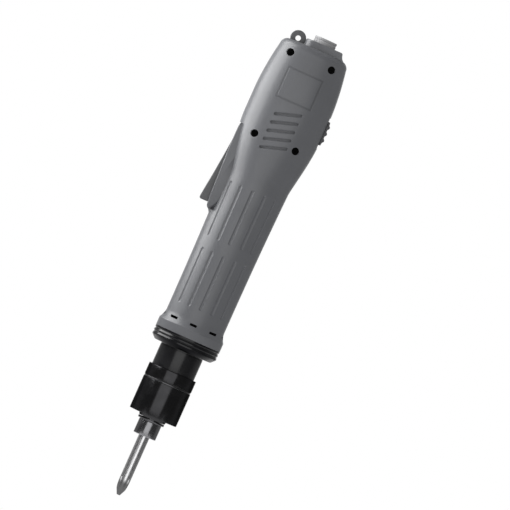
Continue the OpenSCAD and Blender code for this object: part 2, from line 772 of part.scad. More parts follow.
bush_r = 3;
shaft_r = shaft_d / 2;
can_bore = can_r - can_wall;
magnet_r = can_bore - running;
core_r = magnet_r - 3.2;
z_core = z_can + 6;
core_len = can_len - 18;
end_turn_t = 3.35;
z_commutator = z_core + core_len + 5;
commutator_r = 3.3;
commutator_len = 6.8;
cap_t = 4.5;
brush_half_y = 1.5;

module motor_can() {
    color([0.5, 0.51, 0.53]) difference() {
        rod(z_can, z_can_top, can_r);
        rod(z_can + can_wall, z_can_top + past, can_bore);
        rod(z_can - past, z_can + 2 * can_wall, bush_r + snug);
        for (a = [90, 270]) rotate([0, 0, a]) translate([motor_screw_circle, 0, 0])
            rod(z_can - past, z_can + 2 * can_wall, motor_screw_r + snug);
        // cooling windows near the front
        for (a = [0:60:300]) rotate([0, 0, a])
            box([can_r / 2 + 1, -1.6, z_can - past], [can_r / 2 + 4, 1.6, z_can + 2 * can_wall]);
    }
}

module motor_magnets() {
    color([0.25, 0.25, 0.27]) difference() {
        tube(z_core - 1, z_core + core_len + 1, magnet_r, core_r + 0.4);
        for (a = [0, 180]) rotate([0, 0, a])
            box([0, -4.4, z_core - 2], [can_r, 4.4, z_core + core_len + 2]);
    }
}

module motor_bushes() {
    color([0.72, 0.55, 0.3]) {
        tube(z_can - 0.9, z_can + can_wall + 0.7, bush_r, shaft_r + running);
        tube(z_can_top + 1.2, z_can_top + cap_t + 1.8, bush_r, shaft_r + running);
    }
}

module motor_end_cap() {
    color([0.12, 0.12, 0.13]) difference() {
        union() {
            rod(z_can_top + running, z_can_top + cap_t, can_r);
            rod(z_can_top + cap_t - past, z_can_top + cap_t + 2, bush_r + 1.6);
            tube(z_can_top - cap_t, z_can_top + past, can_bore - snug, can_bore - 1.6);
            for (a = [90, 270]) rotate([0, 0, a])
                box([commutator_r + 1.4, -brush_half_y - 1.1, z_commutator + 0.9],
                    [can_bore - 1, brush_half_y + 1.1, z_can_top + past]);
        }
        for (a = [90, 270]) rotate([0, 0, a])
            box([0, -brush_half_y - snug, z_commutator + 1.5],
                [can_bore - 1.9, brush_half_y + snug, z_commutator + 5.6]);
        rod(z_can_top - 6, z_can_top + 1.2, commutator_r + 0.5);
        rod(z_can_top + 1.1, z_can_top + cap_t + 3, bush_r + snug);
    }
}

module carbon_brushes() {
    color([0.15, 0.14, 0.14]) for (a = [90, 270]) rotate([0, 0, a]) difference() {
        box([commutator_r - 0.6, -brush_half_y, z_commutator + 1.6],
            [can_bore - 4, brush_half_y, z_commutator + 5.5]);
        rod(z_commutator, z_commutator + 7, commutator_r + running);
    }
}

module armature() {
    color([0.45, 0.4, 0.35]) {
        difference() {
            union() {
                rod(z_fast + 0.2, z_can_top + cap_t + 1.4, shaft_r);
                rod(z_core, z_core + core_len, core_r);
            }
            // five winding slots
            for (i = [0:4]) rotate([0, 0, 36 + 72 * i]) {
                box([4, -1.6, z_core - past], [core_r - 1.4, 1.6, z_core + core_len + past]);
                box([4, -0.6, z_core - past], [core_r + past, 0.6, z_core + core_len + past]);
            }
        }
        // end turns of the windings
        for (z = [z_core - end_turn_t - running, z_core + core_len + running])
            turned([[shaft_r + snug, z], [core_r - 2.4, z], [core_r - 1.3, z + 1.2],
                [core_r - 1.3, z + 2.2], [core_r - 2, z + end_turn_t], [shaft_r + snug, z + end_turn_t]]);
    }
}

module commutator() {
    color([0.75, 0.45, 0.25]) difference() {
        tube(z_commutator - 0.8, z_commutator + commutator_len, commutator_r, shaft_r + snug);
        for (i = [0:4]) rotate([0, 0, 72 * i])
            box([commutator_r - 0.6, -0.15, z_commutator],
                [commutator_r + past, 0.15, z_commutator + commutator_len + past]);
    }
}

module motor_pinion() {
    color([0.8, 0.68, 0.35]) gear(sun_teeth, z_fast, z_fast_top + 0.6, shaft_r + snug);
}

// Planet stages. Each carrier is a plate with three pins.

module carrier(z) {
    difference() {
        rod(z, z + carrier_t, disc_r);
        // lightening scallops between the pins
        for (a = [60, 180, 300]) rotate([0, 0, a]) translate([disc_r + 1.5, 0, 0])
            rod(z - past, z + carrier_t + past, 3.4);
    }
}

module carrier_pins(z, length) {
    for (a = [0, 120, 240]) rotate([0, 0, a]) translate([planet_circle, 0, 0])
        rod(z, z + length, pin_r);
}

module output_carrier() {
    color([0.68, 0.69, 0.71]) {
        carrier(z_carrier);
        carrier_pins(z_carrier + carrier_t - snug, planet_t + 2 * plate_gap);
        rod(z_bearing - face, z_carrier + snug, hub_r - running);
        keyed_rod(z_cam + 0.5, z_bearing, tail_r);
    }
}

module first_carrier() {
    color([0.66, 0.67, 0.69]) {
        difference() {
            carrier(z_first);
            rod(z_first - past, z_first + carrier_t + past, sun_hub_r + snug);
        }
        carrier_pins(z_first + carrier_t - snug, planet_fast_t + 2 * plate_gap);
    }
}

module second_sun() {
    color([0.8, 0.68, 0.35]) {
        gear(sun_teeth, z_slow, z_first - running, sun_bore);
        tube(z_first - 0.3, z_first + carrier_t, sun_hub_r, sun_bore);
    }
}

module planet(z0, z1, angle) {
    color([0.82, 0.8, 0.76]) rotate([0, 0, angle]) translate([planet_circle, 0, 0])
        gear(planet_teeth, z0, z1, planet_bore);
}

// Clutch

// a shaft with two flats
module keyed_rod(z0, z1, r) {
    intersection() {
        rod(z0, z1, r);
        box([-r - past, -r + 0.8, z0 - past], [r + past, r - 0.8, z1 + past]);
    }
}

module keyed_hole(z0, z1, r) {
    intersection() {
        rod(z0 - past, z1 + past, r + running);
        box([-r - past, -r + 0.8 - running, z0 - 2 * past], [r + past, r - 0.8 + running, z1 + 2 * past]);
    }
}

clutch_ball_r = 2;
clutch_circle = (tail_r + plate_r) / 2;
z_clutch_balls = z_cam - clutch_gap / 2;

module clutch_plate() {
    color([0.55, 0.56, 0.58]) difference() {
        rod(z_plate, z_plate + plate_t, plate_r);
        keyed_hole(z_plate, z_plate + plate_t, tail_r);
        track(z_thrust_balls, thrust_circle, thrust_ball_r + running);
        ball_circle(z_clutch_balls, clutch_circle, clutch_ball_r + running, 3);
    }
}

module clutch_balls() {
    color([0.8, 0.8, 0.82]) ball_circle(z_clutch_balls, clutch_circle, clutch_ball_r, 3);
}

module clutch_cam() {
    color([0.5, 0.51, 0.53]) difference() {
        rod(z_cam, z_cam + cam_t, plate_r);
        keyed_hole(z_cam, z_cam + cam_t, tail_r);
        ball_circle(z_clutch_balls, clutch_circle, clutch_ball_r + running, 3);
        // ramps beside the ball seats
        for (a = [0, 120, 240]) rotate([0, 0, a]) translate([clutch_circle, 0, z_cam])
            rotate([90, 0, 90]) translate([0, 0, -2.2]) linear_extrude(4.4)
                polygon([[-4.5, -past], [4.5, -past], [3.6, 0], [1.2, 0.55], [-1.2, 0.55], [-3.6, 0]]);
    }
}

module torque_spring() {
    color([0.6, 0.61, 0.63]) coil(z_spring, z_race - running, spring_r, spring_wire / 2, spring_turns);
}

module spring_seat() {
    skirt = housing_bore - running;
    // pilot that centres the spring
    pilot_r = spring_r - spring_wire / 2 - 1.2;
    color([0.72, 0.6, 0.35]) turned([
        [spindle_r + running, z_seat], [skirt, z_seat], [skirt, z_seat + seat_skirt],
        [skirt - 0.6, z_seat + seat_skirt], [skirt - 0.6, z_seat + seat_t],
        [pilot_r, z_seat + seat_t], [pilot_r - 0.2, z_seat + seat_t + 5],
        [spindle_r + running, z_seat + seat_t + 5]]);
}

module thrust_washer() {
    color([0.85, 0.85, 0.8]) tube(z_thrust, z_thrust + thrust_t, housing_bore - 0.5, shoulder_ring_r + free);
}

// Torque nut, its lock ring and the light washer between them

module torque_nut() {
    r = nut_d / 2;
    bore = shoulder_ring_r + free;
    foot = washer_d / 2;
    color([0.07, 0.07, 0.075]) turned([
        [bore, z_collar], [foot - 0.1, z_collar], [foot + 0.35, z_nut], [r - 0.3, z_nut],
        [r, z_nut + 0.3],
        [r, z_nut_top - 0.2], [r - 0.2, z_nut_top], [thread_r + running, z_nut_top],
        [thread_r + running, z_nut + nut_wall], [bore, z_nut + nut_wall]]);
}

module lock_ring() {
    r = nut_d / 2;
    color([0.07, 0.07, 0.075]) turned([
        [neck_r + running, z_lock], [r - 0.2, z_lock], [r, z_lock + 0.2], [r, z_neck - 0.5],
        [r - 0.5, z_neck], [neck_r + running, z_neck]]);
}

module lock_washer() {
    color([0.7, 0.7, 0.7])
        tube(z_lock_washer, z_lock_washer + lock_washer_t, nut_d / 2 - 0.1, neck_r + running);
}

// Spindle and chuck

module hexagon(z0, z1, flats) {
    translate([0, 0, z0]) rotate([0, 0, 30 + bit_turn])
        cylinder(h = z1 - z0, r = flats / 2 / cos(30), $fn = 6);
}

module spindle() {
    color([0.6, 0.61, 0.63]) {
        difference() {
            union() {
                rod(z_nose + 0.5, z_race - 6, spindle_r);
                translate([0, 0, z_nose])
                    cylinder(h = 0.5, r1 = spindle_r - 0.4, r2 = spindle_r, $fn = 64);
                rod(z_race - 7, z_plate, tail_r);
                rod(z_washer + washer_t + snug, z_nut + nut_wall - 0.4, shoulder_ring_r);
            }
            hexagon(z_nose - past, z_hex + hex_len + free, hex_af + 2 * running);
            rod_x(0, z_lock_ball, -spindle_r - past, spindle_r + past, lock_ball_r + running);
            tube(z_snap - running, z_snap + snap_t + running, spindle_r + past, spindle_r - 0.5);
        }
        keyed_rod(z_plate - snug, z_plate + plate_t + 0.4, tail_r);
    }
}

module stop_washer() {
    r = washer_d / 2;
    color([0.78, 0.79, 0.8]) turned([[spindle_r + snug, z_washer], [r - 0.5, z_washer], [r, z_washer + 0.4],
        [r, z_washer + washer_t - 0.2], [r - 0.2, z_washer + washer_t], [spindle_r + snug, z_washer + washer_t]]);
}

module snap_ring() {
    color([0.5, 0.5, 0.52]) difference() {
        tube(z_snap, z_snap + snap_t, spindle_r + 0.75, spindle_r - 0.45);
        box([-1.2, 0, z_nose], [1.2, spindle_r + 2, z_nose + 2]);
    }
}

module lock_balls() {
    color([0.85, 0.85, 0.87]) ball_circle(z_lock_ball, lock_circle, lock_ball_r, 2);
}

sleeve_chamber_r = sleeve_d / 2 - 0.8;
z_land = z_lock_ball - 0.5;

module chuck_sleeve() {
    r = sleeve_d / 2;
    color([0.5, 0.51, 0.53]) turned([
        [sleeve_chamber_r, z_sleeve], [r - 0.3, z_sleeve], [r, z_sleeve + 0.3],
        [r, z_sleeve + sleeve_len - 0.3], [r - 0.3, z_sleeve + sleeve_len],
        [land_r + lock_ball_r - 0.1, z_sleeve + sleeve_len], [land_r, z_land + 1.6], [land_r, z_land],
        [sleeve_chamber_r, z_land]]);
}

module sleeve_spring() {
    color([0.7, 0.71, 0.73])
        coil(z_snap + snap_t + running, z_land - running, spindle_r + 0.5, 0.2, 4, 5, 14);
}

module bit() {
    r = bit_d / 2;
    tip_r = bit_tip_d / 2;
    color([0.7, 0.71, 0.73]) difference() {
        union() {
            // bare shank and cone: a hexagon with turned corners
            intersection() {
                turned([[0, 0], [tip_r - 0.2, 0], [tip_r, 0.15], [r - 0.55, bit_cone - 2],
                    [r - 0.3, bit_cone - 0.3], [r - 0.1, bit_cone + 2], [r, bit_cone + 4.2],
                    [r, z_hex + past], [0, z_hex + past]]);
                hexagon(-past, z_hex + 2 * past, hex_af);
            }
            hexagon(z_hex, z_hex + hex_len, hex_af);
        }
        // groove for the lock balls, and the chamfer of the held end
        track(z_lock_ball, lock_circle, lock_ball_r + running);
        turned([[hex_af / 2, z_hex + hex_len + 0.1], [hex_af / 2 + 2, z_hex + hex_len + 0.1],
            [hex_af / 2 + 2, z_hex + hex_len - 1.4]]);
        // four flutes that leave the cross
        for (a = [45:90:315]) rotate([0, 0, a]) translate([0.75, 0, -past])
            rotate([0, 11, 0]) rotate([0, 0, -45]) cube([4, 4, 12]);
    }
}

// Start lever and switches

lever_outline = [[pivot_x - pivot_r, z_pivot], [pivot_x - pivot_r - 0.4, z_pivot - 8],
    [guard_x - 2.75, z_toe + 26], [guard_x - 3.85, z_toe + 15.3], [guard_x - 5, z_toe + 6],
    [toe_x, z_toe + 1.3], [toe_x + 0.4, z_toe + 0.3], [toe_x + 1.1, z_toe], [guard_x + 0.15, z_toe],
    [guard_x + 0.5, z_toe + 13], [pivot_x + 1, z_pivot - 12], [pivot_x + pivot_r, z_pivot]];
lever_hollow = [[pivot_x - 0.8, z_pivot - 3.6], [pivot_x - 1, z_pivot - 8.5], [guard_x - 1.2, z_toe + 26],
    [guard_x - 2.3, z_toe + 15], [guard_x - 3.5, z_toe + 6], [guard_x - 3.9, z_toe + 1.6],
    [guard_x + 4, z_toe + 1.6], [pivot_x + 6, z_pivot - 3.6]];
lever_boss_z = z_toe + 9;

module lever() {
    color([0.33, 0.33, 0.35]) difference() {
        union() {
            difference() {
                union() {
                    slab(lever_outline, -lever_w / 2, lever_w / 2);
                    rod_y(pivot_x, z_pivot, -lever_w / 2, lever_w / 2, pivot_r);
                }
                slab(lever_hollow, -lever_w / 2 + 1.5, lever_w / 2 - 1.5);
            }
            rod_x(0, lever_boss_z, guard_x - 3.6, guard_x - 1, 1.5);
            box([pivot_x - 1.6, -1.5, z_plunger - 1.5], [plunger_x - face, 1.5, z_plunger + 1.5]);
        }
        rod_y(pivot_x, z_pivot, -lever_w, lever_w, 1 + running);
    }
}

module lever_pin() {
    color([0.7, 0.71, 0.73]) rod_y(pivot_x, z_pivot, -cheek_y + 1.1, cheek_y - 1.1, 1);
}

module lever_spring() {
    color([0.7, 0.71, 0.73]) translate([pocket_x + running, 0, lever_boss_z]) rotate([0, -90, 0])
        coil(0, pocket_x - guard_x + 2.5, 2.1, 0.25, 5, 5, 12);
}

switch_x = plunger_x + 1.2;

module start_switch() {
    color([0.1, 0.1, 0.11]) difference() {
        box([switch_x, -switch_half_y, z_plunger - 6.4],
            [switch_x + 6.5, switch_half_y, z_plunger + 6.4]);
        rod_x(0, z_plunger, switch_x - past, plunger_x + 4.2, 0.8 + running);
        for (z = switch_posts) rod_y(switch_post_x, z, -4, 4, switch_post_r + snug);
    }
}

module switch_plunger() {
    color([0.75, 0.2, 0.15]) rod_x(0, z_plunger, plunger_x, plunger_x + 2.8, 0.8);
}

module direction_switch() {
    x1 = head_r - wall - 0.6;
    color([0.14, 0.14, 0.15]) difference() {
        box([x1 - 7.6, -4, z_knob - 8.1], [x1, 4, z_knob + 8.1]);
        box([x1 - 3.2, -foot_half_y - free, z_knob - foot_half_z - free - knob_travel],
            [x1 + past, foot_half_y + free, z_knob + foot_half_z + free + knob_travel]);
    }
}

module direction_knob() {
    x0 = flat_x + running;
    z0 = z_knob - knob_len / 2;
    z1 = z_knob + knob_len / 2;
    color([0.25, 0.25, 0.26]) {
        slab([[x0, z0], [x0 + 1, z0], [x0 + 1.55, z0 + 0.6], [x0 + 1.55, z1 - 0.6], [x0 + 1, z1],
            [x0, z1]], -knob_w / 2, knob_w / 2);
        for (i = [-1:1])
            rod_y(x0 + 1.35, z_knob + i * knob_len * 0.28, -knob_w / 2, knob_w / 2, 0.85);
        box([head_r - wall - 3.4, -foot_half_y, z_knob - foot_half_z],
            [x0 + 0.5, foot_half_y, z_knob + foot_half_z]);
    }
}

// Electronics

leg_x = 5.9;
leg_r = 0.35;
leg_heights = [for (z = [11.46, 14, 16.54]) z_board + z];

module circuit_board() {
    color([0.1, 0.35, 0.2]) difference() {
        box([-board_w / 2, board_y, z_board], [board_w / 2, board_y + board_t, z_board + board_len]);
        for (z = board_posts)
            rod_y(0, z, board_y - past, board_y + board_t + past, board_screw_r + snug);
        for (z = leg_heights)
            rod_y(leg_x, z, board_y - past, board_y + board_t + past, leg_r + snug);
    }
}

module board_screws() {
    color([0.75, 0.76, 0.78]) for (z = board_posts) {
        rod_y(0, z, board_y - 1.6, board_y - snug, board_screw_r + 0.9);
        rod_y(0, z, board_y - 0.5, board_y + board_t + 5, board_screw_r);
    }
}

module capacitor() {
    color([0.15, 0.2, 0.4]) translate([-2, board_y - 4.6, 0]) rod(z_board + 8, z_board + 24, 4.5);
}

module brake_relay() {
    color([0.15, 0.15, 0.16])
        box([-7.2, board_y - 8.5, z_board + 27], [7.2, board_y - running, z_board + 38]);
}

module power_transistor() {
    color([0.12, 0.12, 0.13]) {
        box([3.6, board_y - 4.6, z_board + 9], [8.2, board_y - running, z_board + 19]);
        for (z = leg_heights) rod_y(leg_x, z, board_y - 1, board_y + board_t + 1, leg_r);
    }
}

front_shell();
rear_shell();
housing_screws();
hang_loop();
inlet_shell();
inlet_insert();
nose_ring();
clutch_housing();
output_bearing();
spring_race();
thrust_balls();
gear_case();
ring_gear();
motor_plate();
motor_screws();
motor_can();
motor_magnets();
motor_bushes();
motor_end_cap();
carbon_brushes();
start_switch();
switch_plunger();
lever();
lever_pin();
lever_spring();
direction_switch();
direction_knob();
circuit_board();
capacitor();
brake_relay();
power_transistor();
board_screws();
torque_nut();
lock_ring();
lock_washer();
thrust_washer();
spring_seat();
torque_spring();
spindle();
stop_washer();
clutch_plate();
clutch_balls();
clutch_cam();
output_carrier();
bit();
lock_balls();
chuck_sleeve();
sleeve_spring();
snap_ring();
armature();
commutator();
motor_pinion();
first_carrier();
second_sun();
planet(z_fast, z_fast_top, 0);  // fast_planet_1
planet(z_fast, z_fast_top, 120);  // fast_planet_2
planet(z_fast, z_fast_top, 240);  // fast_planet_3
planet(z_slow, z_slow + planet_t, 0);  // slow_planet_1
planet(z_slow, z_slow + planet_t, 120);  // slow_planet_2
planet(z_slow, z_slow + planet_t, 240);  // slow_planet_3
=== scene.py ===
"""An in-line electric screwdriver: the looks of its housing, nose, torque nut, chuck, bit and lever."""

import json
import math

import bmesh
import bpy
from mathutils import Matrix, Vector


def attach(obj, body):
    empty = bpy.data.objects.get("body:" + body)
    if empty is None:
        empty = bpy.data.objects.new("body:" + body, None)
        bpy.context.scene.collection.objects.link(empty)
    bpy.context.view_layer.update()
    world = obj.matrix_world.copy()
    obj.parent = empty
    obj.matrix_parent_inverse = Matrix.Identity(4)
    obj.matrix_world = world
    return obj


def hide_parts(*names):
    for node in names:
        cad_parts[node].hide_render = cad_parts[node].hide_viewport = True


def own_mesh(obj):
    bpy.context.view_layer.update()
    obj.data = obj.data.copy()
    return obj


bl_info = {
    "name": "Electric Screwdriver",
    "version": (1, 0, 0),
    "blender": (4, 5, 0),
    "location": "3D View > Sidebar > Screwdriver",
    "description": "Builds the looks of an in-line electric screwdriver",
    "category": "Add Mesh",
}

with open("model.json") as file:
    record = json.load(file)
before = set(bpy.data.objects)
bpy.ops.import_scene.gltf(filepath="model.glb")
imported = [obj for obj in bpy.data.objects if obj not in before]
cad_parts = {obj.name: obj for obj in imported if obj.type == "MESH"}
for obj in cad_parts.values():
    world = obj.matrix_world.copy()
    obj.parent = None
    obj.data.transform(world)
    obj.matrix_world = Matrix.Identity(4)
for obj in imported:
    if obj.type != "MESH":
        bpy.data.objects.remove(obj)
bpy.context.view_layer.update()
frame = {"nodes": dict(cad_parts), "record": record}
MM = 0.001

# Heights above the bit's tip and half widths of the tool, in millimetres.
SLEEVE_FOOT, SLEEVE_TOP = 37.2, 46.2
WASHER_FOOT, COLLAR_FOOT, NUT_FOOT, NUT_TOP = 46.3, 47.9, 49.4, 69.8
LOCK_FOOT, LOCK_TOP = 70.8, 78.0
RING_FOOT, SHELL_FOOT = 91.5, 99.5
MOUTH_TOP, FLARE_TOP, GRIP_TOP = 104.5, 110.2, 199.0
SWELL, CROWN_FOOT, CROWN, SHOULDER = 37.0, 248.0, 29.8, 277.8
SHOULDER_ROUND, SHELL_TOP = 4.5, 282.3
MOUTH_HALF, GRIP_HALF, REAR_HALF = 20.2, 18.2, 19.45
HEAD_HALF, HEAD_TOP_HALF = (23.95, 22.0), (20.9, 19.2)
SKIN, GROOVE_WALL = 1.0, 0.85
GROOVE_ANGLES = [-46.6, -23.3, 0.0, 23.3, 46.6]
GROOVE_SPANS = [(116.6, 151.4), (158.3, 193.1)]
WELLS = [(x, z) for x in (-13.0, 13.0) for z in (223.5, 274.8)]
PIVOT = (-20.9031, 221.94)
GUARD_X, TOE_X, TOE_Z, POCKET_X = -21.737, -27.237, 176.44, -17.637
GUARD_FOOT, GUARD_LEAN_TOP, GUARD_LEAN = 172.84, 188.84, 0.12
GUARD_HALF, POCKET_HALF, LEVER_HALF = 11.0, 7.9, 7.5
KNOB_Z, FLAT_X = 239.84, 23.5
INLET_X, INLET_FOOT, INLET_TOP = 3.05, 278.7, 290.2
BLOCK_LEFT, BLOCK_RIGHT, BLOCK_HALF, BLOCK_TOP, BLOCK_ROUND = INLET_X - 10.9, INLET_X + 12.05, 9.5, 286.5, 8.5
LOOP_X, LOOP_Z, LOOP_HALF = -12.35, 284.4, 1.5
NUT_RADIUS, RING_RADIUS, SLEEVE_RADIUS, BIT_RADIUS, BIT_TOP = 14.7, 20.2, 6.9, 3.3, 53.1
HEX_FLATS, HEX_TURN = 6.35, 13.5
FRAME_X, FRAME_Z, FRAME_HALF_WIDTH, FRAME_HALF_HEIGHT = 0.4, 257.65, 10.6, 9.15
VENT_LEFT, VENT_TOP, VENT_PITCH, VENT_RUN, VENT_RISE, VENT_WIDTH = -7.4, 238.4, 5.22, 15.8, 5.2, 2.1
MOUTH_SLOT_FOOT, MOUTH_SLOT_TOP, MOUTH_SLOT_HALF, MOUTH_SLOT_PITCH = 106.85, 108.35, 2.1, 12.2
# How far the core stands back from the housing's faces, so that the skin covers it.
DRAWN_IN, DRAWN_IN_ENDS = 0.55, 0.5
# Each lamp's place, target, size and power, in metres and watts.
LAMPS = {
    "side_strip": ((-0.26, 0, 0.345), (0, 0, 0.345), (0.29, 0.434), 2.1),
    "front_panel": ((0, -1.0, 0.2), (0, 0, 0.15), (0.93, 0.8), 2.7),
}
CAMERA_PLACE, CAMERA_LENS = (0.01596, -4.93, 0.1593), 600


# Outline of the housing


def swell(z):
    return math.sin(math.pi / 2 * min(1, max(0, (z - GRIP_TOP) / SWELL)) ** 1.1)


def crown(z):
    return min(1, max(0, (z - CROWN_FOOT) / CROWN)) ** 1.8


def shoulder_drop(z):
    if z <= SHOULDER:
        return 0
    rise = (z - SHOULDER) / SHOULDER_ROUND
    return SHOULDER_ROUND * (1 - math.sqrt(max(0, 1 - rise**2)))


def half(z, side):
    """Half the housing's width (side 0) or depth (side 1) at a height."""
    if z <= MOUTH_TOP:
        return MOUTH_HALF
    if z <= FLARE_TOP:
        return GRIP_HALF + (MOUTH_HALF - GRIP_HALF) * ((FLARE_TOP - z) / (FLARE_TOP - MOUTH_TOP)) ** 1.7
    if z <= GRIP_TOP:
        return GRIP_HALF + (REAR_HALF - GRIP_HALF) * ((z - FLARE_TOP) / (GRIP_TOP - FLARE_TOP)) ** 2.3
    full, top = HEAD_HALF[side], HEAD_TOP_HALF[side]
    return REAR_HALF + (full - REAR_HALF) * swell(z) - (full - top) * crown(z) - shoulder_drop(z)


def squareness(z):
    """The exponent of the housing's section at a height, which is 2 for a circle."""
    return 2 + 0.3 * swell(z)


def skin_point(turn, z, sink):
    """A point of the front half's skin: turn runs from 0 at the right to 180 degrees at the left."""
    power = 2 / squareness(z)
    c, s = math.cos(math.radians(turn)), math.sin(math.radians(turn))
    x = (half(z, 0) - sink) * math.copysign(abs(c) ** power, c)
    return x, -(half(z, 1) - sink) * abs(s) ** power, z


def groove_sink(turn, z, width, depth):
    """How far the skin is pressed in at a place of the grip."""
    if not FLARE_TOP < z < GRIP_TOP:
        return 0.0
    for angle in GROOVE_ANGLES:
        across = math.radians(turn - 90 + angle) * half(z, 0)
        if abs(across) > width:
            continue
        for low, high in GROOVE_SPANS:
            along = max(0, low + width / 2 - z, z - high + width / 2)
            share = min(1, max(0, (width / 2 - math.hypot(across, along)) / GROOVE_WALL))
            if share:
                return depth * share * share * (3 - 2 * share)
    return 0.0


# Mesh tools. Sizes and places are in millimetres.


def polar(radius, degrees):
    """The X and Y of a place round the origin."""
    angle = math.radians(degrees)
    return radius * math.cos(angle), radius * math.sin(angle)


def shift(bm, x=0, y=0, z=0, verts=None):
    """Moves a shape, or some points of it."""
    bmesh.ops.translate(bm, verts=verts or bm.verts, vec=Vector((x, y, z)) * MM)


def rotate(bm, degrees, axis):
    """Turns a shape about an axis through the origin."""
    bmesh.ops.rotate(bm, verts=bm.verts, cent=(0, 0, 0), matrix=Matrix.Rotation(math.radians(degrees), 3, axis))


def thicken(bm, faces, x=0, y=0, z=0):
    """Draws faces out into a closed body."""
    moved = bmesh.ops.extrude_face_region(bm, geom=faces)["geom"]
    shift(bm, x, y, z, [part for part in moved if isinstance(part, bmesh.types.BMVert)])


def sheet(columns, rows, spot):
    """An open sheet of columns by rows points, each placed by spot."""
    bm = bmesh.new()
    bmesh.ops.create_grid(bm, x_segments=columns - 1, y_segments=rows - 1, size=1)
    bm.verts.ensure_lookup_table()
    for i, vert in enumerate(bm.verts):
        vert.co = Vector(spot(i % columns, i // columns)) * MM
    return bm


def outward(bm):
    """The shape with every face turned outward."""
    bmesh.ops.recalc_face_normals(bm, faces=bm.faces)
    return bm


def slab(outline, y0, y1, rounding=0.0, steps=3, both_ends=True):
    """A plate with an outline in X and Z, its flat faces' edges rounded at y0 or at both ends."""
    bm = bmesh.new()
    corners = [bm.verts.new((x * MM, y0 * MM, z * MM)) for x, z in outline]
    thicken(bm, [bm.faces.new(corners)], y=y1 - y0)
    if rounding:
        levels = (y0, y1) if both_ends else (y0,)
        near = [[v for v in bm.verts if abs(v.co.y - y * MM) < 1e-6] for y in levels]
        edges = [edge for edge in bm.edges if any(all(v in row for v in edge.verts) for row in near)]
        bevel(bm, edges, rounding, steps)
    return outward(bm)


def bevel(bm, geom, width, steps, affect="EDGES"):
    bmesh.ops.bevel(
        bm, geom=geom, offset=width * MM, offset_type="OFFSET", segments=steps, profile=0.5, affect=affect,
        material=-1, clamp_overlap=True,
    )


def offset(x, z, *points):
    """Points of an outline that are given from a place."""
    return [(x + across, z + up) for across, up in points]


def rounded(outline, roundings, steps=4):
    """The outline with its corners rounded, as a list of points."""
    points = []
    count = len(outline)
    for i, (x, z) in enumerate(outline):
        radius = roundings.get(i, 0)
        if not radius:
            points.append((x, z))
            continue
        here = Vector((x, z))
        before = Vector(outline[i - 1]) - here
        after = Vector(outline[(i + 1) % count]) - here
        reach = min(radius, before.length * 0.48, after.length * 0.48)
        start, end = here + before.normalized() * reach, here + after.normalized() * reach
        for k in range(steps + 1):
            t = k / steps
            spot = start * (1 - t) ** 2 + here * 2 * t * (1 - t) + end * t * t
            points.append((spot.x, spot.y))
    return points


def block(low, high):
    bm = bmesh.new()
    bmesh.ops.create_cube(bm, size=1)
    size = [b - a for a, b in zip(low, high)]
    bmesh.ops.scale(bm, vec=[s * MM for s in size], verts=bm.verts)
    shift(bm, *((a + b) / 2 for a, b in zip(low, high)))
    return bm


def peg(centre, axis, length, radius, sides=48):
    """A round bar whose axis starts at centre."""
    bm = bmesh.new()
    radius *= MM
    bmesh.ops.create_cone(bm, cap_ends=True, segments=sides, radius1=radius, radius2=radius, depth=length * MM)
    aim = Vector((0, 0, 1)).rotation_difference(Vector(axis)).to_matrix()
    bmesh.ops.rotate(bm, verts=bm.verts, cent=(0, 0, 0), matrix=aim)
    shift(bm, *(Vector(centre) + Vector(axis).normalized() * length / 2))
    return bm


def turned(profile, steps=128, x=0.0):
    """A turned piece. Each point of its closed profile is a radius, a height and a rounding."""
    bm = bmesh.new()
    points = [bm.verts.new((p[0] * MM, 0, p[1] * MM)) for p in profile]
    for i, point in enumerate(points):
        bm.edges.new((points[i - 1], point))
    for point, p in zip(points, profile):
        if len(p) > 2:
            bevel(bm, [point], p[2], 3, "VERTICES")
    line = bm.verts[:] + bm.edges[:]
    bmesh.ops.spin(bm, geom=line, cent=(0, 0, 0), axis=(0, 0, 1), angle=math.tau, steps=steps, use_merge=True)
    bmesh.ops.remove_doubles(bm, verts=bm.verts, dist=1e-7)
    flat = [edge for edge in bm.edges if not edge.link_faces]
    bmesh.ops.delete(bm, geom=flat, context="EDGES")
    shift(bm, x)
    return outward(bm)


def hexagon(low, high):
    """The bit's hexagonal bar."""
    bm = bmesh.new()
    reach = HEX_FLATS / 2 / math.cos(math.radians(30)) * MM
    corners = [bm.verts.new((*polar(reach, 30 + HEX_TURN + 60 * k), low * MM)) for k in range(6)]
    thicken(bm, [bm.faces.new(corners)], z=high - low)
    return outward(bm)


def copied(node):
    """The shape of a CAD node."""
    bm = bmesh.new()
    bm.from_mesh(frame["nodes"][node].data)
    bmesh.ops.remove_doubles(bm, verts=bm.verts, dist=1e-6)
    return bm


def as_mesh(bm, name="work"):
    mesh = bpy.data.meshes.new(name)
    bm.to_mesh(mesh)
    bm.free()
    return mesh


def joined(*parts):
    bm = bmesh.new()
    for part in parts:
        mesh = as_mesh(part)
        bm.from_mesh(mesh)
        bpy.data.meshes.remove(mesh)
    return bm


def added(name, data):
    """A new object in the scene."""
    obj = bpy.data.objects.new(name, data)
    bpy.context.scene.collection.objects.link(obj)
    return obj


def worked(pieces):
    """The first piece's shape after its modifiers. All the pieces are removed."""
    graph = bpy.context.evaluated_depsgraph_get()
    mesh = bpy.data.meshes.new_from_object(pieces[0].evaluated_get(graph))
    bm = bmesh.new()
    bm.from_mesh(mesh)
    for spare in [mesh, *(piece.data for piece in pieces)]:
        bpy.data.meshes.remove(spare)
    if not bm.faces:
        raise RuntimeError("a cut left nothing of its piece")
    return bm


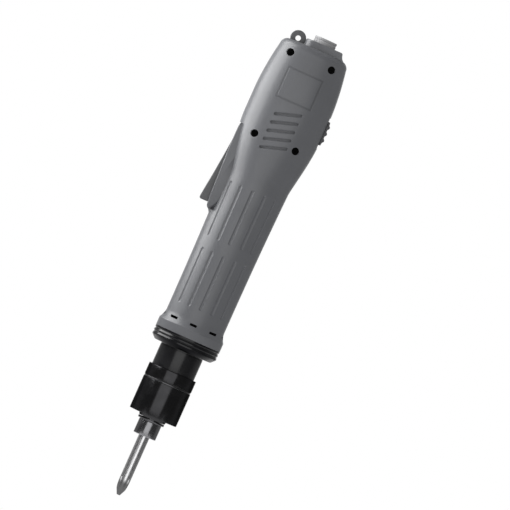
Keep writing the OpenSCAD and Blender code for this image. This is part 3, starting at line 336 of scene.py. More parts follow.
def carved(body, cutters, operation="DIFFERENCE"):
    """The body with each cutter taken out of it or joined to it, one after the other."""
    pieces = [added("work", as_mesh(part)) for part in (body, *cutters)]
    for cutter in pieces[1:]:
        step = pieces[0].modifiers.new("cut", "BOOLEAN")
        step.operation = operation
        step.solver = "MANIFOLD"
        step.object = cutter
    return worked(pieces)


def mirrored(bm):
    """The same shape on the other side of the parting plane."""
    bmesh.ops.scale(bm, vec=(1, -1, 1), verts=bm.verts)
    bmesh.ops.reverse_faces(bm, faces=bm.faces)
    return bm


def place(name, bm, body, slot, nodes, sharp=32, look=None):
    """Makes the finished mesh a piece of the tool. A look of its own stands in for the slot's."""
    mesh = as_mesh(bm, name)
    mesh.shade_smooth()
    mesh.set_sharp_from_angle(angle=math.radians(sharp))
    mesh.materials.append(finish(look or slot))
    piece = added(name, mesh)
    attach(piece, body)
    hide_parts(*nodes)
    return piece


# Shader tools


class Signal:
    """A socket's value. Arithmetic on it adds the nodes that work it out."""

    def __init__(self, tree, socket):
        self.tree = tree
        self.socket = socket

    def maths(self, operation, *values):
        return self.tree.node("ShaderNodeMath", dict(enumerate(values)), operation=operation)

    def __add__(self, other):
        return self.maths("ADD", self, other)

    def __sub__(self, other):
        return self.maths("SUBTRACT", self, other)

    def __rsub__(self, other):
        return self.maths("SUBTRACT", other, self)

    def __mul__(self, other):
        return self.maths("MULTIPLY", self, other)

    def __truediv__(self, other):
        return self.maths("DIVIDE", self, other)

    def __rtruediv__(self, other):
        return self.maths("DIVIDE", other, self)

    __radd__ = __add__
    __rmul__ = __mul__

    def __abs__(self):
        return self.maths("ABSOLUTE", self)

    def at_least(self, other):
        return self.maths("MAXIMUM", self, other)

    def at_most(self, other):
        return self.maths("MINIMUM", self, other)

    def between(self, low, high, start=0.0, end=1.0):
        """A smooth step from start at low to end at high."""
        values = {0: self, 1: low, 2: high, 3: start, 4: end}
        return self.tree.node("ShaderNodeMapRange", values, interpolation_type="SMOOTHSTEP")


class Tree:
    """The nodes of a material or a world."""

    def __init__(self, owner):
        owner.use_nodes = True
        self.tree = owner.node_tree
        self.tree.nodes.clear()

    def node(self, kind, values=None, output=0, **settings):
        """Adds a node and returns one of its outputs, or the node itself where output is None."""
        made = self.tree.nodes.new(kind)
        for key, value in settings.items():
            setattr(made, key, value)
        self.give(made, values or {})
        return made if output is None else Signal(self, made.outputs[output])

    def give(self, node, values):
        """Links or sets each of these inputs of a node."""
        for key, value in values.items():
            if isinstance(value, Signal):
                self.tree.links.new(value.socket, node.inputs[key])
            else:
                node.inputs[key].default_value = value

    def vector(self, operation, first, second, output=0):
        return self.node("ShaderNodeVectorMath", {0: first, 1: second}, output, operation=operation)

    def axes(self, where):
        """The X, Y and Z of a place."""
        split = self.node("ShaderNodeSeparateXYZ", {0: where}, output=None)
        return [Signal(self, socket) for socket in split.outputs]

    def rays(self, *kinds):
        """One for each of these kinds of ray."""
        path = self.node("ShaderNodeLightPath", output=None)
        return [Signal(self, path.outputs[f"Is {kind} Ray"]) for kind in kinds]


class Recipe(Tree):
    """One material: a Principled shader and the nodes that vary it over the surface."""

    def __init__(self, name, colour, roughness, metallic=0.0, specular=0.5, rim=1.0):
        self.material = bpy.data.materials.new(name)
        super().__init__(self.material)
        self.shader = self.node("ShaderNodeBsdfPrincipled", output=None)
        self.node("ShaderNodeOutputMaterial", {0: Signal(self, self.shader.outputs[0])}, output=None)
        self.own = colour
        self.colour = (*colour, 1.0)
        self.roughness = roughness
        self.normal = None
        self.metallic = metallic
        self.give(self.shader, {"Specular IOR Level": specular, "Specular Tint": (rim, rim, rim, 1)})
        self.place = self.node("ShaderNodeTexCoord", output="Object")
        self.x, self.y, self.z = self.axes(self.place)

    def noise(self, size, detail):
        """Noise whose lumps are about size millimetres across."""
        values = {"Vector": self.place, "Scale": 1 / (size * MM), "Detail": detail, "Roughness": 0.5}
        return self.node("ShaderNodeTexNoise", values)

    def lines(self, along, size):
        """Fine lines across a direction, about size millimetres apart."""
        values = {"W": along / (size * MM), "Scale": 1.0, "Detail": 3.0, "Roughness": 0.7}
        return self.node("ShaderNodeTexNoise", values, noise_dimensions="1D")

    def paint(self, share, colour):
        """Lays another colour over what is there, by share."""
        values = {0: share, 6: self.colour, 7: (*colour, 1.0)}
        self.colour = self.node("ShaderNodeMix", values, output=2, data_type="RGBA")

    def tone(self, share, factor):
        """Lays a darker or lighter tone of the material's own colour over it."""
        self.paint(share, [min(1.0, part * factor) for part in self.own])

    def soften(self, radius):
        """Rounds every edge a little and returns how strongly the surface bends there."""
        bent = self.node("ShaderNodeBevel", {"Radius": radius * MM}, samples=6)
        flat = self.node("ShaderNodeNewGeometry", output="Normal")
        self.normal = bent
        return self.vector("DOT_PRODUCT", bent, flat, "Value").between(0.97, 0.8)

    def bump(self, height, depth, strength=1.0):
        values = {"Height": height, "Distance": depth * MM, "Strength": strength, "Normal": self.normal}
        self.normal = self.node("ShaderNodeBump", values)

    def done(self):
        self.give(self.shader, {"Base Color": self.colour, "Roughness": self.roughness})
        self.give(self.shader, {"Metallic": self.metallic, "Normal": self.normal})
        return self.material


# Finishes


def moulded(slot, colour, roughness, grain=0.35, specular=0.5):
    """Moulded plastic: spark-eroded grain, a little unevenness and lighter edges, partly rubbed wear and partly a
    painted highlight.
    """
    recipe = Recipe(slot, colour, roughness, specular=specular)
    edge_wear_and_sheen = recipe.soften(0.3)
    cloud = recipe.noise(14, 3)
    recipe.tone(cloud.between(0.35, 0.7, 0, 0.35), 0.86)
    speck = recipe.noise(0.5, 2)
    recipe.tone(speck.between(0.55, 0.8, 0, 0.3), 1.25)
    # lighter edges: rubbed wear and, in part, a painted highlight along them
    recipe.tone(edge_wear_and_sheen * cloud.between(0.3, 0.6, 0.25, 0.6), 1.9)
    recipe.roughness = cloud * 0.10 + speck * 0.08 + (roughness - 0.09)
    recipe.bump(speck, 0.02, grain)
    return recipe


def housing(slot, colour, roughness):
    """The housing's plastic, with a frame cut into the front of the head, its line painted darker as shade, and a
    band that leans in at the mouth.
    """
    recipe = moulded(slot, colour, roughness)
    band = (recipe.z / MM).at_least(SHELL_FOOT).at_most(MOUTH_TOP - 0.2)
    recipe.bump(band * 0.2, 1)
    sizes = bpy.context.scene.screwdriver_sizes
    across = abs(recipe.x - FRAME_X * MM) - FRAME_HALF_WIDTH * MM
    along = abs(recipe.z - FRAME_Z * MM) - FRAME_HALF_HEIGHT * MM
    line = abs(across.at_least(along)) / MM
    front = recipe.y.between(2 * MM, -2 * MM)
    cut = line.between(sizes.frame_line / MM * 0.9, sizes.frame_line / MM * 0.35) * front
    # painted shade: the frame's cut line is darkened, standing in for the shade inside it
    recipe.tone(cut * 0.42, 0.4)
    recipe.bump(1 - cut, sizes.frame_depth / MM)
    return recipe


def anodised(slot, colour, roughness, specular=0.4, metallic=0.0, dull_foot=0.0):
    """Black anodised or coated metal with faint lathe marks and rubbed corners. Below dull_foot it hardly shines."""
    recipe = Recipe(slot, colour, roughness, metallic, specular, rim=0 if metallic else 1)
    if dull_foot:
        recipe.metallic = (recipe.z / MM).between(dull_foot, dull_foot - 0.2)
    edge_wear_and_sheen = recipe.soften(0.1)
    marks = recipe.lines(recipe.z, 0.12)
    smear = recipe.noise(6, 4)
    recipe.tone(smear.between(0.4, 0.75, 0, 0.5), 1.5)
    recipe.paint(edge_wear_and_sheen * smear.between(0.4, 0.62, 0, 0.35), (0.22, 0.22, 0.23))
    recipe.roughness = smear * 0.14 + marks * 0.08 + (roughness - 0.11)
    recipe.bump(marks, 0.004)
    return recipe


def machined(slot, colour, roughness, marks=0.1, depth=0.006, metallic=1.0):
    """Bare metal turned on a lathe."""
    recipe = Recipe(slot, colour, roughness, metallic)
    edge_wear_and_sheen = recipe.soften(0.12)
    rings = recipe.lines(recipe.z, marks)
    smear = recipe.noise(5, 4)
    recipe.tone(smear.between(0.35, 0.75, 0, 0.45), 0.72)
    recipe.tone(edge_wear_and_sheen * 0.5, 1.5)
    recipe.roughness = rings * 0.12 + smear * 0.12 + (roughness - 0.12)
    recipe.bump(rings, depth)
    return recipe


def ground(slot, colour, roughness):
    """Ground steel with fine scratches that cross it aslant, and darker toward the tip."""
    recipe = Recipe(slot, colour, roughness, metallic=1.0)
    recipe.soften(0.1)
    scratches = recipe.lines(recipe.x + recipe.y + recipe.z * 0.8, 0.16)
    recipe.tone(scratches.between(0.35, 0.7, 0, 0.4), 0.7)
    # darker over the last few millimetres toward the tip
    recipe.tone((recipe.z / MM).between(11, 7) * 0.94, 0.1)
    recipe.roughness = scratches * 0.14 + (roughness - 0.07)
    recipe.bump(scratches, 0.01, 0.5)
    return recipe


def cast(slot, colour, roughness):
    """Cast or pressed metal: a fine, even tooth whose hollows are painted darker, as shade."""
    recipe = Recipe(slot, colour, roughness, metallic=1.0)
    recipe.soften(0.15)
    tooth = recipe.noise(0.35, 3)
    patch = recipe.noise(4, 3)
    # painted shade: the tooth's hollows are darkened
    recipe.tone(tooth.between(0.55, 0.3, 0, 0.5), 0.55)
    recipe.roughness = patch * 0.16 + (roughness - 0.08)
    recipe.bump(tooth, 0.03, 0.5)
    return recipe


def enamelled_board(slot, colour, roughness):
    """Board varnish with fine copper runs under it."""
    recipe = Recipe(slot, colour, roughness)
    recipe.soften(0.1)
    values = {"Vector": recipe.place, "Scale": 300.0, "Mortar Size": 0.03}
    cells = recipe.node("ShaderNodeTexBrick", values, "Fac", offset=0.5)
    weave = recipe.noise(0.6, 2)
    recipe.paint(cells * 0.6, (0.09, 0.28, 0.1))
    recipe.roughness = weave * 0.15 + (roughness - 0.08)
    recipe.bump(weave, 0.01, 0.5)
    return recipe


def laminated(slot, colour, roughness):
    """A stack of varnished iron sheets between wound copper."""
    recipe = Recipe(slot, colour, roughness, metallic=0.6)
    recipe.soften(0.1)
    sheets = recipe.z.maths("FRACT", recipe.z / (0.5 * MM))
    gap = abs(sheets - 0.5).between(0.36, 0.46)
    flat = recipe.vector("MULTIPLY", recipe.place, (1, 1, 0))
    radius = recipe.vector("LENGTH", flat, (0, 0, 0), "Value")
    low, high = 127.9 * MM, 157.95 * MM
    wound = (abs(recipe.z - (low + high) / 2) - (high - low) / 2).between(-0.1 * MM, 0.1 * MM)
    wound = wound * radius.between(1.7 * MM, 1.9 * MM)
    recipe.tone(gap * 0.6, 0.3)
    recipe.paint(wound, (0.55, 0.25, 0.1))
    recipe.roughness = recipe.noise(1, 2) * 0.2 + (roughness - 0.1)
    recipe.bump(gap * -1, 0.05)
    return recipe


# What makes each finish, its roughness and its other options.
FINISHES = {
    "housing_plastic": (housing, 0.36, {}),
    "guard_plastic": (moulded, 0.4, {"specular": 0.4}),
    "knob_plastic": (moulded, 0.45, {"specular": 0.4}),
    "black_metal": (anodised, 0.22, {"specular": 0.5}),
    "black_coat": (anodised, 0.16, {"metallic": 0.9}),
    "ring_black": (anodised, 0.2, {"dull_foot": RING_FOOT + 2.7}),
    # painted shade: near-black and hardly shining, for pieces that sit in shade
    "deep_black": (anodised, 0.5, {"specular": 0.05}),
    "dark_steel": (machined, 0.2, {"depth": 0.003}),
    "washer_steel": (machined, 0.3, {"depth": 0.004}),
    "bright_steel": (ground, 0.24, {}),
    "ball_steel": (machined, 0.16, {"marks": 0.4}),
    "spring_steel": (machined, 0.3, {"marks": 0.3}),
    "inlet_metal": (machined, 0.68, {"marks": 0.5, "metallic": 0.1}),
    "insert_plastic": (moulded, 0.55, {"specular": 0.3}),
    "case_alloy": (cast, 0.42, {}),
    "ring_steel": (cast, 0.5, {}),
    "planet_steel": (cast, 0.44, {}),
    "brass": (machined, 0.27, {}),
    "bronze": (cast, 0.46, {}),
    "copper": (machined, 0.25, {}),
    "can_steel": (machined, 0.3, {"marks": 0.6}),
    "magnet": (cast, 0.6, {}),
    "motor_plastic": (moulded, 0.5, {}),
    "carbon": (moulded, 0.62, {"grain": 0.6}),
    "core_steel": (laminated, 0.4, {}),
    "washer_plastic": (moulded, 0.38, {"grain": 0.2}),
    "board": (enamelled_board, 0.3, {}),
    "component": (moulded, 0.35, {"grain": 0.2}),
    "plunger_plastic": (moulded, 0.3, {"grain": 0.2}),
}
READY = {}
# Pieces deep in wells and slots, where little light comes, get a near-black finish as painted shade, whatever they
# are made of.
PAINTED_SHADE_PIECES = ("housing_screws", "gear_case")


def finish(slot):
    """The material of a record slot, made when it is first asked for."""
    if slot in READY:
        return READY[slot]
    rows = {row["slot"]: row["base_color"] for row in frame["record"]["materials"]}
    colour = getattr(bpy.context.scene.screwdriver_colours, slot, rows.get(slot))
    maker, roughness, options = FINISHES[slot]
    READY[slot] = maker(slot + "_finish", colour, roughness, **options).done()
    return READY[slot]


# What a user may change


def length_property(name, description, default, least, most):
    sizes = {"default": default * MM, "min": least * MM, "max": most * MM}
    return bpy.props.FloatProperty(name=name, description=description, unit="LENGTH", **sizes)


class ScrewdriverSizes(bpy.types.PropertyGroup):
    """Sizes of the dressed tool."""

    groove_width: length_property("Groove width", "Width of a grip groove", 2.3, 1.4, 3)
    groove_depth: length_property("Groove depth", "Depth of a grip groove", 0.45, 0.1, 1)
    frame_line: length_property("Frame line", "Width of the line cut round the bare field on the head", 0.8, 0.2, 2)
    frame_depth: length_property("Frame depth", "Depth of that line", 0.08, 0.0, 0.5)
    tilt: bpy.props.FloatProperty(
        name="Tilt",
        description="How far the camera leans",
        default=math.radians(24),
        subtype="ANGLE",
        unit="ROTATION",
    )


def colour_property(name, description, default):
    return bpy.props.FloatVectorProperty(
        name=name, description=description, default=default, subtype="COLOR", size=3, min=0.0, max=1.0
    )


class ScrewdriverColours(bpy.types.PropertyGroup):
    """Base colours of what shows from outside."""

    housing_plastic: colour_property("Housing", "Plastic of the two moulded halves", (0.110, 0.113, 0.121))
    guard_plastic: colour_property("Lever and loop", "Plastic of the lever and the hang loop", (0.085, 0.086, 0.09))
    knob_plastic: colour_property("Slide", "Plastic of the direction slide", (0.07, 0.07, 0.075))
    black_metal: colour_property("Nose", "Anodised metal of the nose ring and the neck", (0.008, 0.008, 0.009))
    black_coat: colour_property("Torque nut", "Black coat of the nut and its lock ring", (0.046, 0.046, 0.048))
    ring_black: colour_property("Nose ring", "Black of the grooved ring", (0.006, 0.006, 0.007))
    # painted shade for the screws in their wells and the gear case behind the slots
    deep_black: colour_property("Wells", "Black of the screws in their wells", (0.004, 0.004, 0.004))
    washer_steel: colour_property("Washers", "Dulled steel of the two washers that show", (0.13, 0.13, 0.135))
    dark_steel: colour_property("Chuck steel", "Steel of the chuck sleeve and the spindle", (0.30, 0.30, 0.31))
    bright_steel: colour_property("Bit steel", "Steel of the bit and the inner races", (0.84, 0.84, 0.85))
    inlet_metal: colour_property("Inlet metal", "Plated shell of the power inlet", (0.29, 0.29, 0.295))


# The pieces


def run(start, step, count):
    return {start + step * k for k in range(count)}


def skin_rows():
    """Heights of the skin's rows, closer together where it curves or a groove ends."""
    rows = {SHELL_FOOT, SHELL_FOOT + 1.5, MOUTH_TOP, FLARE_TOP, GRIP_TOP - 3}
    rows |= run(MOUTH_TOP - 0.5, 0.5, 12) | {FLARE_TOP + rise for rise in (0.8, 2.5, 4.5)}
    for low, high in GROOVE_SPANS:
        rows |= run(low - 0.4, 0.2, 10) | run(low + 3.4, 4, 8) | run(high + 0.4, -0.2, 10)
    rows |= run(GRIP_TOP, 1.5, 26) | run(CROWN_FOOT - 9.5, 1.5, 26)
    rows |= {SHOULDER + SHOULDER_ROUND * math.sin(math.pi / 2 * k / 10) for k in range(11)}
    kept = []
    for z in sorted(rows):
        if not kept or z - kept[-1] > 0.08:
            kept.append(z)
    kept[-1] = SHELL_TOP
    return kept


def skin_columns(width):
    """Turns of the skin's columns, closer together at the walls of the grooves."""
    turns = {0.0, 180.0} | run(4.3, 4.3, 8) | run(175.7, -4.3, 8)
    for angle in GROOVE_ANGLES:
        for across in {0, 0.25} | run(width / 2 + 0.11, -0.16, 7):
            reach = math.degrees(across / (GRIP_HALF + 0.3))
            turns |= {90 - angle - reach, 90 - angle + reach}
    return sorted(turns | {90 + side * angle for side in (-1, 1) for angle in (8, 11.6, 15.2, 31.3, 34.9, 38.5)})


def skin(sizes):
    """The outside of the front half, as a closed shell one millimetre thick."""
    width, depth = sizes.groove_width / MM, sizes.groove_depth / MM
    heights, turns = skin_rows(), skin_columns(width)

    def spot(column, row):
        turn, z = turns[column], heights[row]
        return skin_point(turn, z, groove_sink(turn, z, width, depth))

    bm = sheet(len(turns), len(heights), spot)
    rim = [vert for vert in bm.verts if vert.co.z > (SHELL_TOP - 0.001) * MM]
    bm.faces.new(sorted(rim, key=lambda vert: vert.co.x))
    outward(bm)
    if sum(face.normal.y * face.calc_area() for face in bm.faces) > 0:
        bmesh.ops.reverse_faces(bm, faces=bm.faces)
    piece = added("work", as_mesh(bm))
    wall = piece.modifiers.new("wall", "SOLIDIFY")
    wall.thickness = SKIN * MM
    wall.offset = -1
    wall.use_even_offset = True
    return worked([piece])


def inside(node):
    """What stands inside a half, drawn in from its outer faces."""
    bm = copied(node)
    for vert in bm.verts:
        x, y, z = vert.co / MM
        power = squareness(z)
        level = min(max(z, SHELL_FOOT), SHELL_TOP)
        out = (abs(x) / max(1, half(level, 0))) ** power + (abs(y) / max(1, half(level, 1))) ** power
        reach = math.hypot(x, y)
        if out > 0.93 and reach > 1:
            vert.co.x -= x / reach * DRAWN_IN * MM
            vert.co.y -= y / reach * DRAWN_IN * MM
        if z > SHELL_TOP - 0.3:
            vert.co.z -= DRAWN_IN_ENDS * MM
        if z < SHELL_FOOT + 0.1:
            vert.co.z += DRAWN_IN_ENDS * MM
    return bm


def guard():
    """The cheek that holds the lever, whose foot leans back to the grip."""
    px, pz = PIVOT
    outline = [
        *offset(GUARD_X, GUARD_FOOT, (0.1, 2.9), (0.45, 1.2), (1.7, 0), (2.7, 1), (4.3, 3.4), (5.5, 5.8)),
        *offset(GUARD_X, GUARD_FOOT, (6.1, 8.8), (8, 14)),
        *offset(GUARD_X, pz, (8, 1.5)),
        *offset(px, pz, (-2, 4.4), (-2.35, 1.5), (-2.4, -8), (-2.1, -16)),
        *offset(GUARD_X, pz, (-0.95, -23.5), (-0.5, -36)),
    ]
    smooth = {0: 1.5, 1: 1, 2: 0.8, 3: 1, 4: 1.5, 5: 1.5, 6: 2, 9: 1, 10: 1, 11: 4, 12: 4, 13: 4, 14: 4}
    cheek = slab(rounded(outline, smooth), -GUARD_HALF, 0, 1.2, 5, both_ends=False)
    every = cheek.verts[:] + cheek.edges[:] + cheek.faces[:]
    bend = GUARD_LEAN_TOP * MM
    bmesh.ops.bisect_plane(cheek, geom=every, plane_co=(0, 0, bend), plane_no=(0, 0, 1))
    for vert in cheek.verts:
        if vert.co.y < -5 * MM:
            vert.co.y += GUARD_LEAN * max(0, bend - vert.co.z)
    return cheek


def guard_fillet():
    """The curve from the grip to the guard's foot, which dies away toward the front."""
    columns, rows = 13, 9

    def spot(column, row):
        share, rise = column / (columns - 1), row / (rows - 1)
        z = GUARD_FOOT - 3.2 + 4 * rise
        reach = half(z, 0) - 0.1 + (2.1 * rise**1.8 - 0.1) * (1 - share * share)
        return *polar(-reach, 22 * share), z

    bm = sheet(columns, rows, spot)
    thicken(bm, bm.faces[:], x=3)
    return outward(bm)


def inlet_block():
    """The raised block round the power inlet."""
    outline = [
        (BLOCK_LEFT, SHELL_TOP - 3), (BLOCK_LEFT, BLOCK_TOP), (BLOCK_RIGHT - 0.2, BLOCK_TOP),
        *offset(BLOCK_RIGHT, SHELL_TOP, (0.5, 1.9), (1.3, 0.5), (2.4, -0.4), (2.4, -3)),
    ]
    body = slab(rounded(outline, {1: 1.6, 2: 0.8, 3: 1, 4: 1}, 5), -BLOCK_HALF, 0)
    return carved(body, [block_corner(0, 270)])


def block_corner(inset, foot):
    """What is cut off the block's left front corner, to leave it rounded in plan."""
    # a hair wider than the block, so that the curve crosses its faces instead of touching them
    left, front, radius = BLOCK_LEFT - 0.03 + inset, BLOCK_HALF + 0.03 - inset, BLOCK_ROUND - inset
    curve = rounded([(left, front - 2 * radius), (left, front), (left + 2.2 * radius, front)], {1: radius}, 14)[1:-1]
    outline = [(left - 2, curve[0][1]), *curve, (curve[-1][0], front + 2), (left - 2, front + 2)]
    corner = slab(outline, foot, 295)
    rotate(corner, 90, "X")
    return corner


def vent_floor():
    """The thin plate behind the vents, which follows the skin."""
    left, low, width, height, steps = -9.4, 214, 18.8, 33, 12

    def spot(column, row):
        x, z = left + width * column / steps, low + height * row / steps
        power = squareness(z)
        y = -half(z, 1) * (1 - (abs(x) / half(z, 0)) ** power) ** (1 / power)
        return x, y + 1.5, z

    bm = sheet(steps + 1, steps + 1, spot)
    thicken(bm, bm.faces[:], y=0.5)
    return outward(bm)


def openings(front):
    """Everything cut out of a half, each a little past the parting plane."""
    px, pz = PIVOT
    left, past = TOE_X - 1, 1
    cuts = [
        block((left, -POCKET_HALF, TOE_Z - 0.6), (POCKET_X, past, GRIP_TOP + 0.4)),
        block((left, -POCKET_HALF, GRIP_TOP), (-14, past, pz - 3.4)),
        block((left, -POCKET_HALF, pz - 4), (px + 3, past, pz + 4.5)),
        block((FLAT_X, -4.9, KNOB_Z - 9.55), (26, past, KNOB_Z + 9.55)),
        block((20, -1.7, KNOB_Z - 5.1), (26, past, KNOB_Z + 5.1)),
        peg((INLET_X, 0, 276), (0, 0, 1), 13, 6.84, 64),
        block((LOOP_X - 3.04, -LOOP_HALF - 0.04, 279), (LOOP_X + 3.04, past, 284)),
        peg((LOOP_X, -LOOP_HALF - 0.04, LOOP_Z), (0, 1, 0), 3, 4.69, 64),
    ]
    if front:
        cuts += [peg((x, -30, z), (0, 1, 0), 21, 2.3) for x, z in WELLS]
    return cuts + [vent(VENT_TOP - VENT_PITCH * k) for k in range(5)] + mouth_slots(front)


def vent(foot):
    """A vent that rises to the right from a height, with round ends."""
    lean = math.atan2(VENT_RISE, VENT_RUN)
    radius = VENT_WIDTH / 2
    outline = []
    for far in (0, 1):
        reach = radius + far * (math.hypot(VENT_RUN, VENT_RISE) - VENT_WIDTH)
        x, z = VENT_LEFT + reach * math.cos(lean), foot + reach * math.sin(lean)
        for step in range(13):
            angle = lean + math.pi / 2 - math.pi * far + math.pi * step / 12
            outline.append((x + radius * math.cos(angle), z + radius * math.sin(angle)))
    return slab(outline, -25, -14)


def mouth_slots(front):
    """The slots above the mouth: those in front are cut straight back, as the mould draws."""
    left, right, low, high = -MOUTH_SLOT_HALF, MOUTH_SLOT_HALF, MOUTH_SLOT_FOOT, MOUTH_SLOT_TOP
    outline = rounded([(left, low), (right, low), (right, high), (left, high)], dict.fromkeys(range(4), 0.4))
    slots = []
    for angle in (-80, -40, 0, 40, 80) if front else (-60, -20, 20, 60):
        slot = slab(outline, -22, -5 if front else -15.6)
        if front and abs(angle) < 60:
            shift(slot, x=MOUTH_SLOT_PITCH * angle / 40)
        else:
            rotate(slot, angle, "Z")
        slots.append(slot)
    return slots


def housing_half(front, sizes):
    name, node = ("front_half", "front_shell") if front else ("rear_half", "rear_shell")
    parts = [carved(part, openings(front)) for part in (skin(sizes), guard(), guard_fillet(), inlet_block())]
    shell = joined(*parts, vent_floor())
    # the core keeps clear of the block's corner and the guard's foot
    room = [block_corner(0.7, SHELL_TOP - 0.7), block((-25, -12, GUARD_FOOT - 2), (-15.5, -8.2, GUARD_LEAN_TOP + 1))]
    if front:
        core = carved(inside(node), [*mouth_slots(front), *room])
    else:
        shell, core = mirrored(shell), carved(inside(node), [mirrored(part) for part in room])
    place(name, joined(shell, core), "housing", "housing_plastic", [node], 28)


class SCREWDRIVER_OT_housing(bpy.types.Operator):
    """Make the two moulded halves with their grooves, vents and guard"""

    bl_idname = "screwdriver.housing"
    bl_label = "Housing"

    def execute(self, context):
        for front in (True, False):
            housing_half(front, context.scene.screwdriver_sizes)
        return {"FINISHED"}


class SCREWDRIVER_OT_head(bpy.types.Operator):
    """Make the hang loop and the power inlet"""

    bl_idname = "screwdriver.head"
    bl_label = "Hang loop and inlet"

    def execute(self, context):
        ring = peg((LOOP_X, -LOOP_HALF, LOOP_Z), (0, 1, 0), 2 * LOOP_HALF, 4.65, 72)
        bevel(ring, [e for e in ring.edges if abs(e.verts[0].co.y - e.verts[1].co.y) < 1e-7], 0.45, 3)
        foot = block((LOOP_X - 3, -LOOP_HALF, 280.5), (LOOP_X + 3, LOOP_HALF, LOOP_Z))
        bar = block((LOOP_X - 4.3, -LOOP_HALF, 279.3), (LOOP_X + 4.3, LOOP_HALF, 280.8))
        loop = carved(carved(ring, [foot, bar], "UNION"), [peg((LOOP_X, -3, LOOP_Z), (0, 1, 0), 6, 1.6)])
        place("loop_ring", loop, "housing", "guard_plastic", ["hang_loop"])
        shell = turned(
            [(6.0, INLET_FOOT), (7.8, INLET_FOOT), (7.8, 279.9), (6.8, 279.9), (6.8, 288.1, 0.1), (6.55, 288.3, 0.1),
             (6.55, 288.8, 0.1), (6.8, 289.0, 0.1), (6.8, INLET_TOP, 0.35), (6.0, INLET_TOP, 0.2)],
            x=INLET_X,
        )
        place("inlet_ring", shell, "housing", "inlet_metal", ["inlet_shell"])
        top = INLET_TOP - 0.9
        face = turned([(0.001, INLET_FOOT), (5.96, INLET_FOOT), (5.96, top, 0.3), (0.001, top)], 96, INLET_X)
        spots = [polar(3.2, angle) for angle in (-90, -30, 30, 90, 210)]
        holes = [peg((INLET_X + x, y, INLET_TOP - 6.9), (0, 0, 1), 8, 0.6, 24) for x, y in spots]
        key = block((INLET_X - 1, -6.5, INLET_TOP - 4.9), (INLET_X + 1, -4.9, INLET_TOP + 1))
        place("inlet_face", carved(face, [*holes, key]), "housing", "insert_plastic", ["inlet_insert"])
        return {"FINISHED"}


class SCREWDRIVER_OT_nose(bpy.types.Operator):
    """Make the black nose ring and the neck below it"""

    bl_idname = "screwdriver.nose"
    bl_label = "Nose"

    def execute(self, context):
        r, z = RING_RADIUS, RING_FOOT
        ring = turned(
            [(13.24, z), (17.7, z, 0.3), (r - 0.2, z + 2.3, 0.4), (r, z + 2.6, 0.1), (r, z + 3.4, 0.15),
             (r - 0.5, z + 4.4, 0.15), (r, z + 4.8, 0.1), (r, z + 5.5, 0.15), (r - 0.5, z + 6.5, 0.15),
             (r, z + 6.9, 0.1), (r, z + 7.9), (15.64, z + 7.9), (15.64, z + 2.45), (13.24, z + 2.45)],
            160,
        )
        place("nose_collar", ring, "housing", "black_metal", ["nose_ring"], look="ring_black")
        neck = turned(
            [(10.3, 59.8), (11.6, 59.8), (12, 60.2), (12, 77), (13.2, 77, 0.25), (13.2, 90.6), (13.05, 90.75),
             (13.05, 91.2), (13.2, 91.35), (13.2, 94), (15.6, 94), (15.6, 95.6), (13.06, 95.6), (13.06, 98.96),
             (12.24, 98.96), (12.24, 92.9), (10.3, 92.9)],
            144,
        )
        place("neck", neck, "housing", "black_metal", ["clutch_housing"])
        return {"FINISHED"}


class SCREWDRIVER_OT_torque_nut(bpy.types.Operator):
    """Make the torque nut, its light washer and the lock ring"""

    bl_idname = "screwdriver.torque_nut"
    bl_label = "Torque nut"

    def execute(self, context):
        r = NUT_RADIUS
        nut = turned(
            [(5.9, COLLAR_FOOT), (8.0, COLLAR_FOOT, 0.15), (8.45, NUT_FOOT, 0.2), (r, NUT_FOOT, 0.4),
             (r, NUT_TOP, 0.12), (12.05, NUT_TOP), (12.05, 52.2), (5.9, 52.2)],
            144,
        )
        place("nut", nut, "nut", "black_coat", ["torque_nut"])
        low, high = NUT_TOP + 0.1, LOCK_FOOT - 0.1
        washer = turned([(13.25, low), (r - 0.2, low, 0.15), (r - 0.2, high, 0.15), (13.25, high)], 144)
        place("light_washer", washer, "nut", "bright_steel", ["lock_washer"], look="washer_steel")
        low, high = LOCK_FOOT, LOCK_TOP
        lock = turned([(13.25, low), (r, low, 0.25), (r, high, 0.15), (13.25, high, 0.1)], 144)
        place("lock_collar", lock, "nut", "black_coat", ["lock_ring"])
        return {"FINISHED"}


class SCREWDRIVER_OT_chuck(bpy.types.Operator):
    """Make the pull-down sleeve and the stop washer above it"""

    bl_idname = "screwdriver.chuck"
    bl_label = "Chuck"

    def execute(self, context):
        r = SLEEVE_RADIUS
        sleeve = turned(
            [(6.1, SLEEVE_FOOT, 0.1), (r, SLEEVE_FOOT, 0.3), (r, SLEEVE_TOP, 0.35), (6.1, SLEEVE_TOP),
             (5.0, 44.7), (5.0, 43.1), (6.1, 43.1)],
            128,
        )
        place("sleeve", sleeve, "sleeve", "dark_steel", ["chuck_sleeve"])
        low, high = WASHER_FOOT, WASHER_FOOT + 1.3
        washer = turned([(4.94, low), (8.1, low, 0.4), (8.1, high, 0.25), (4.94, high)], 128)
        place("stop_disc", washer, "output", "bright_steel", ["stop_washer"], look="washer_steel")
        return {"FINISHED"}


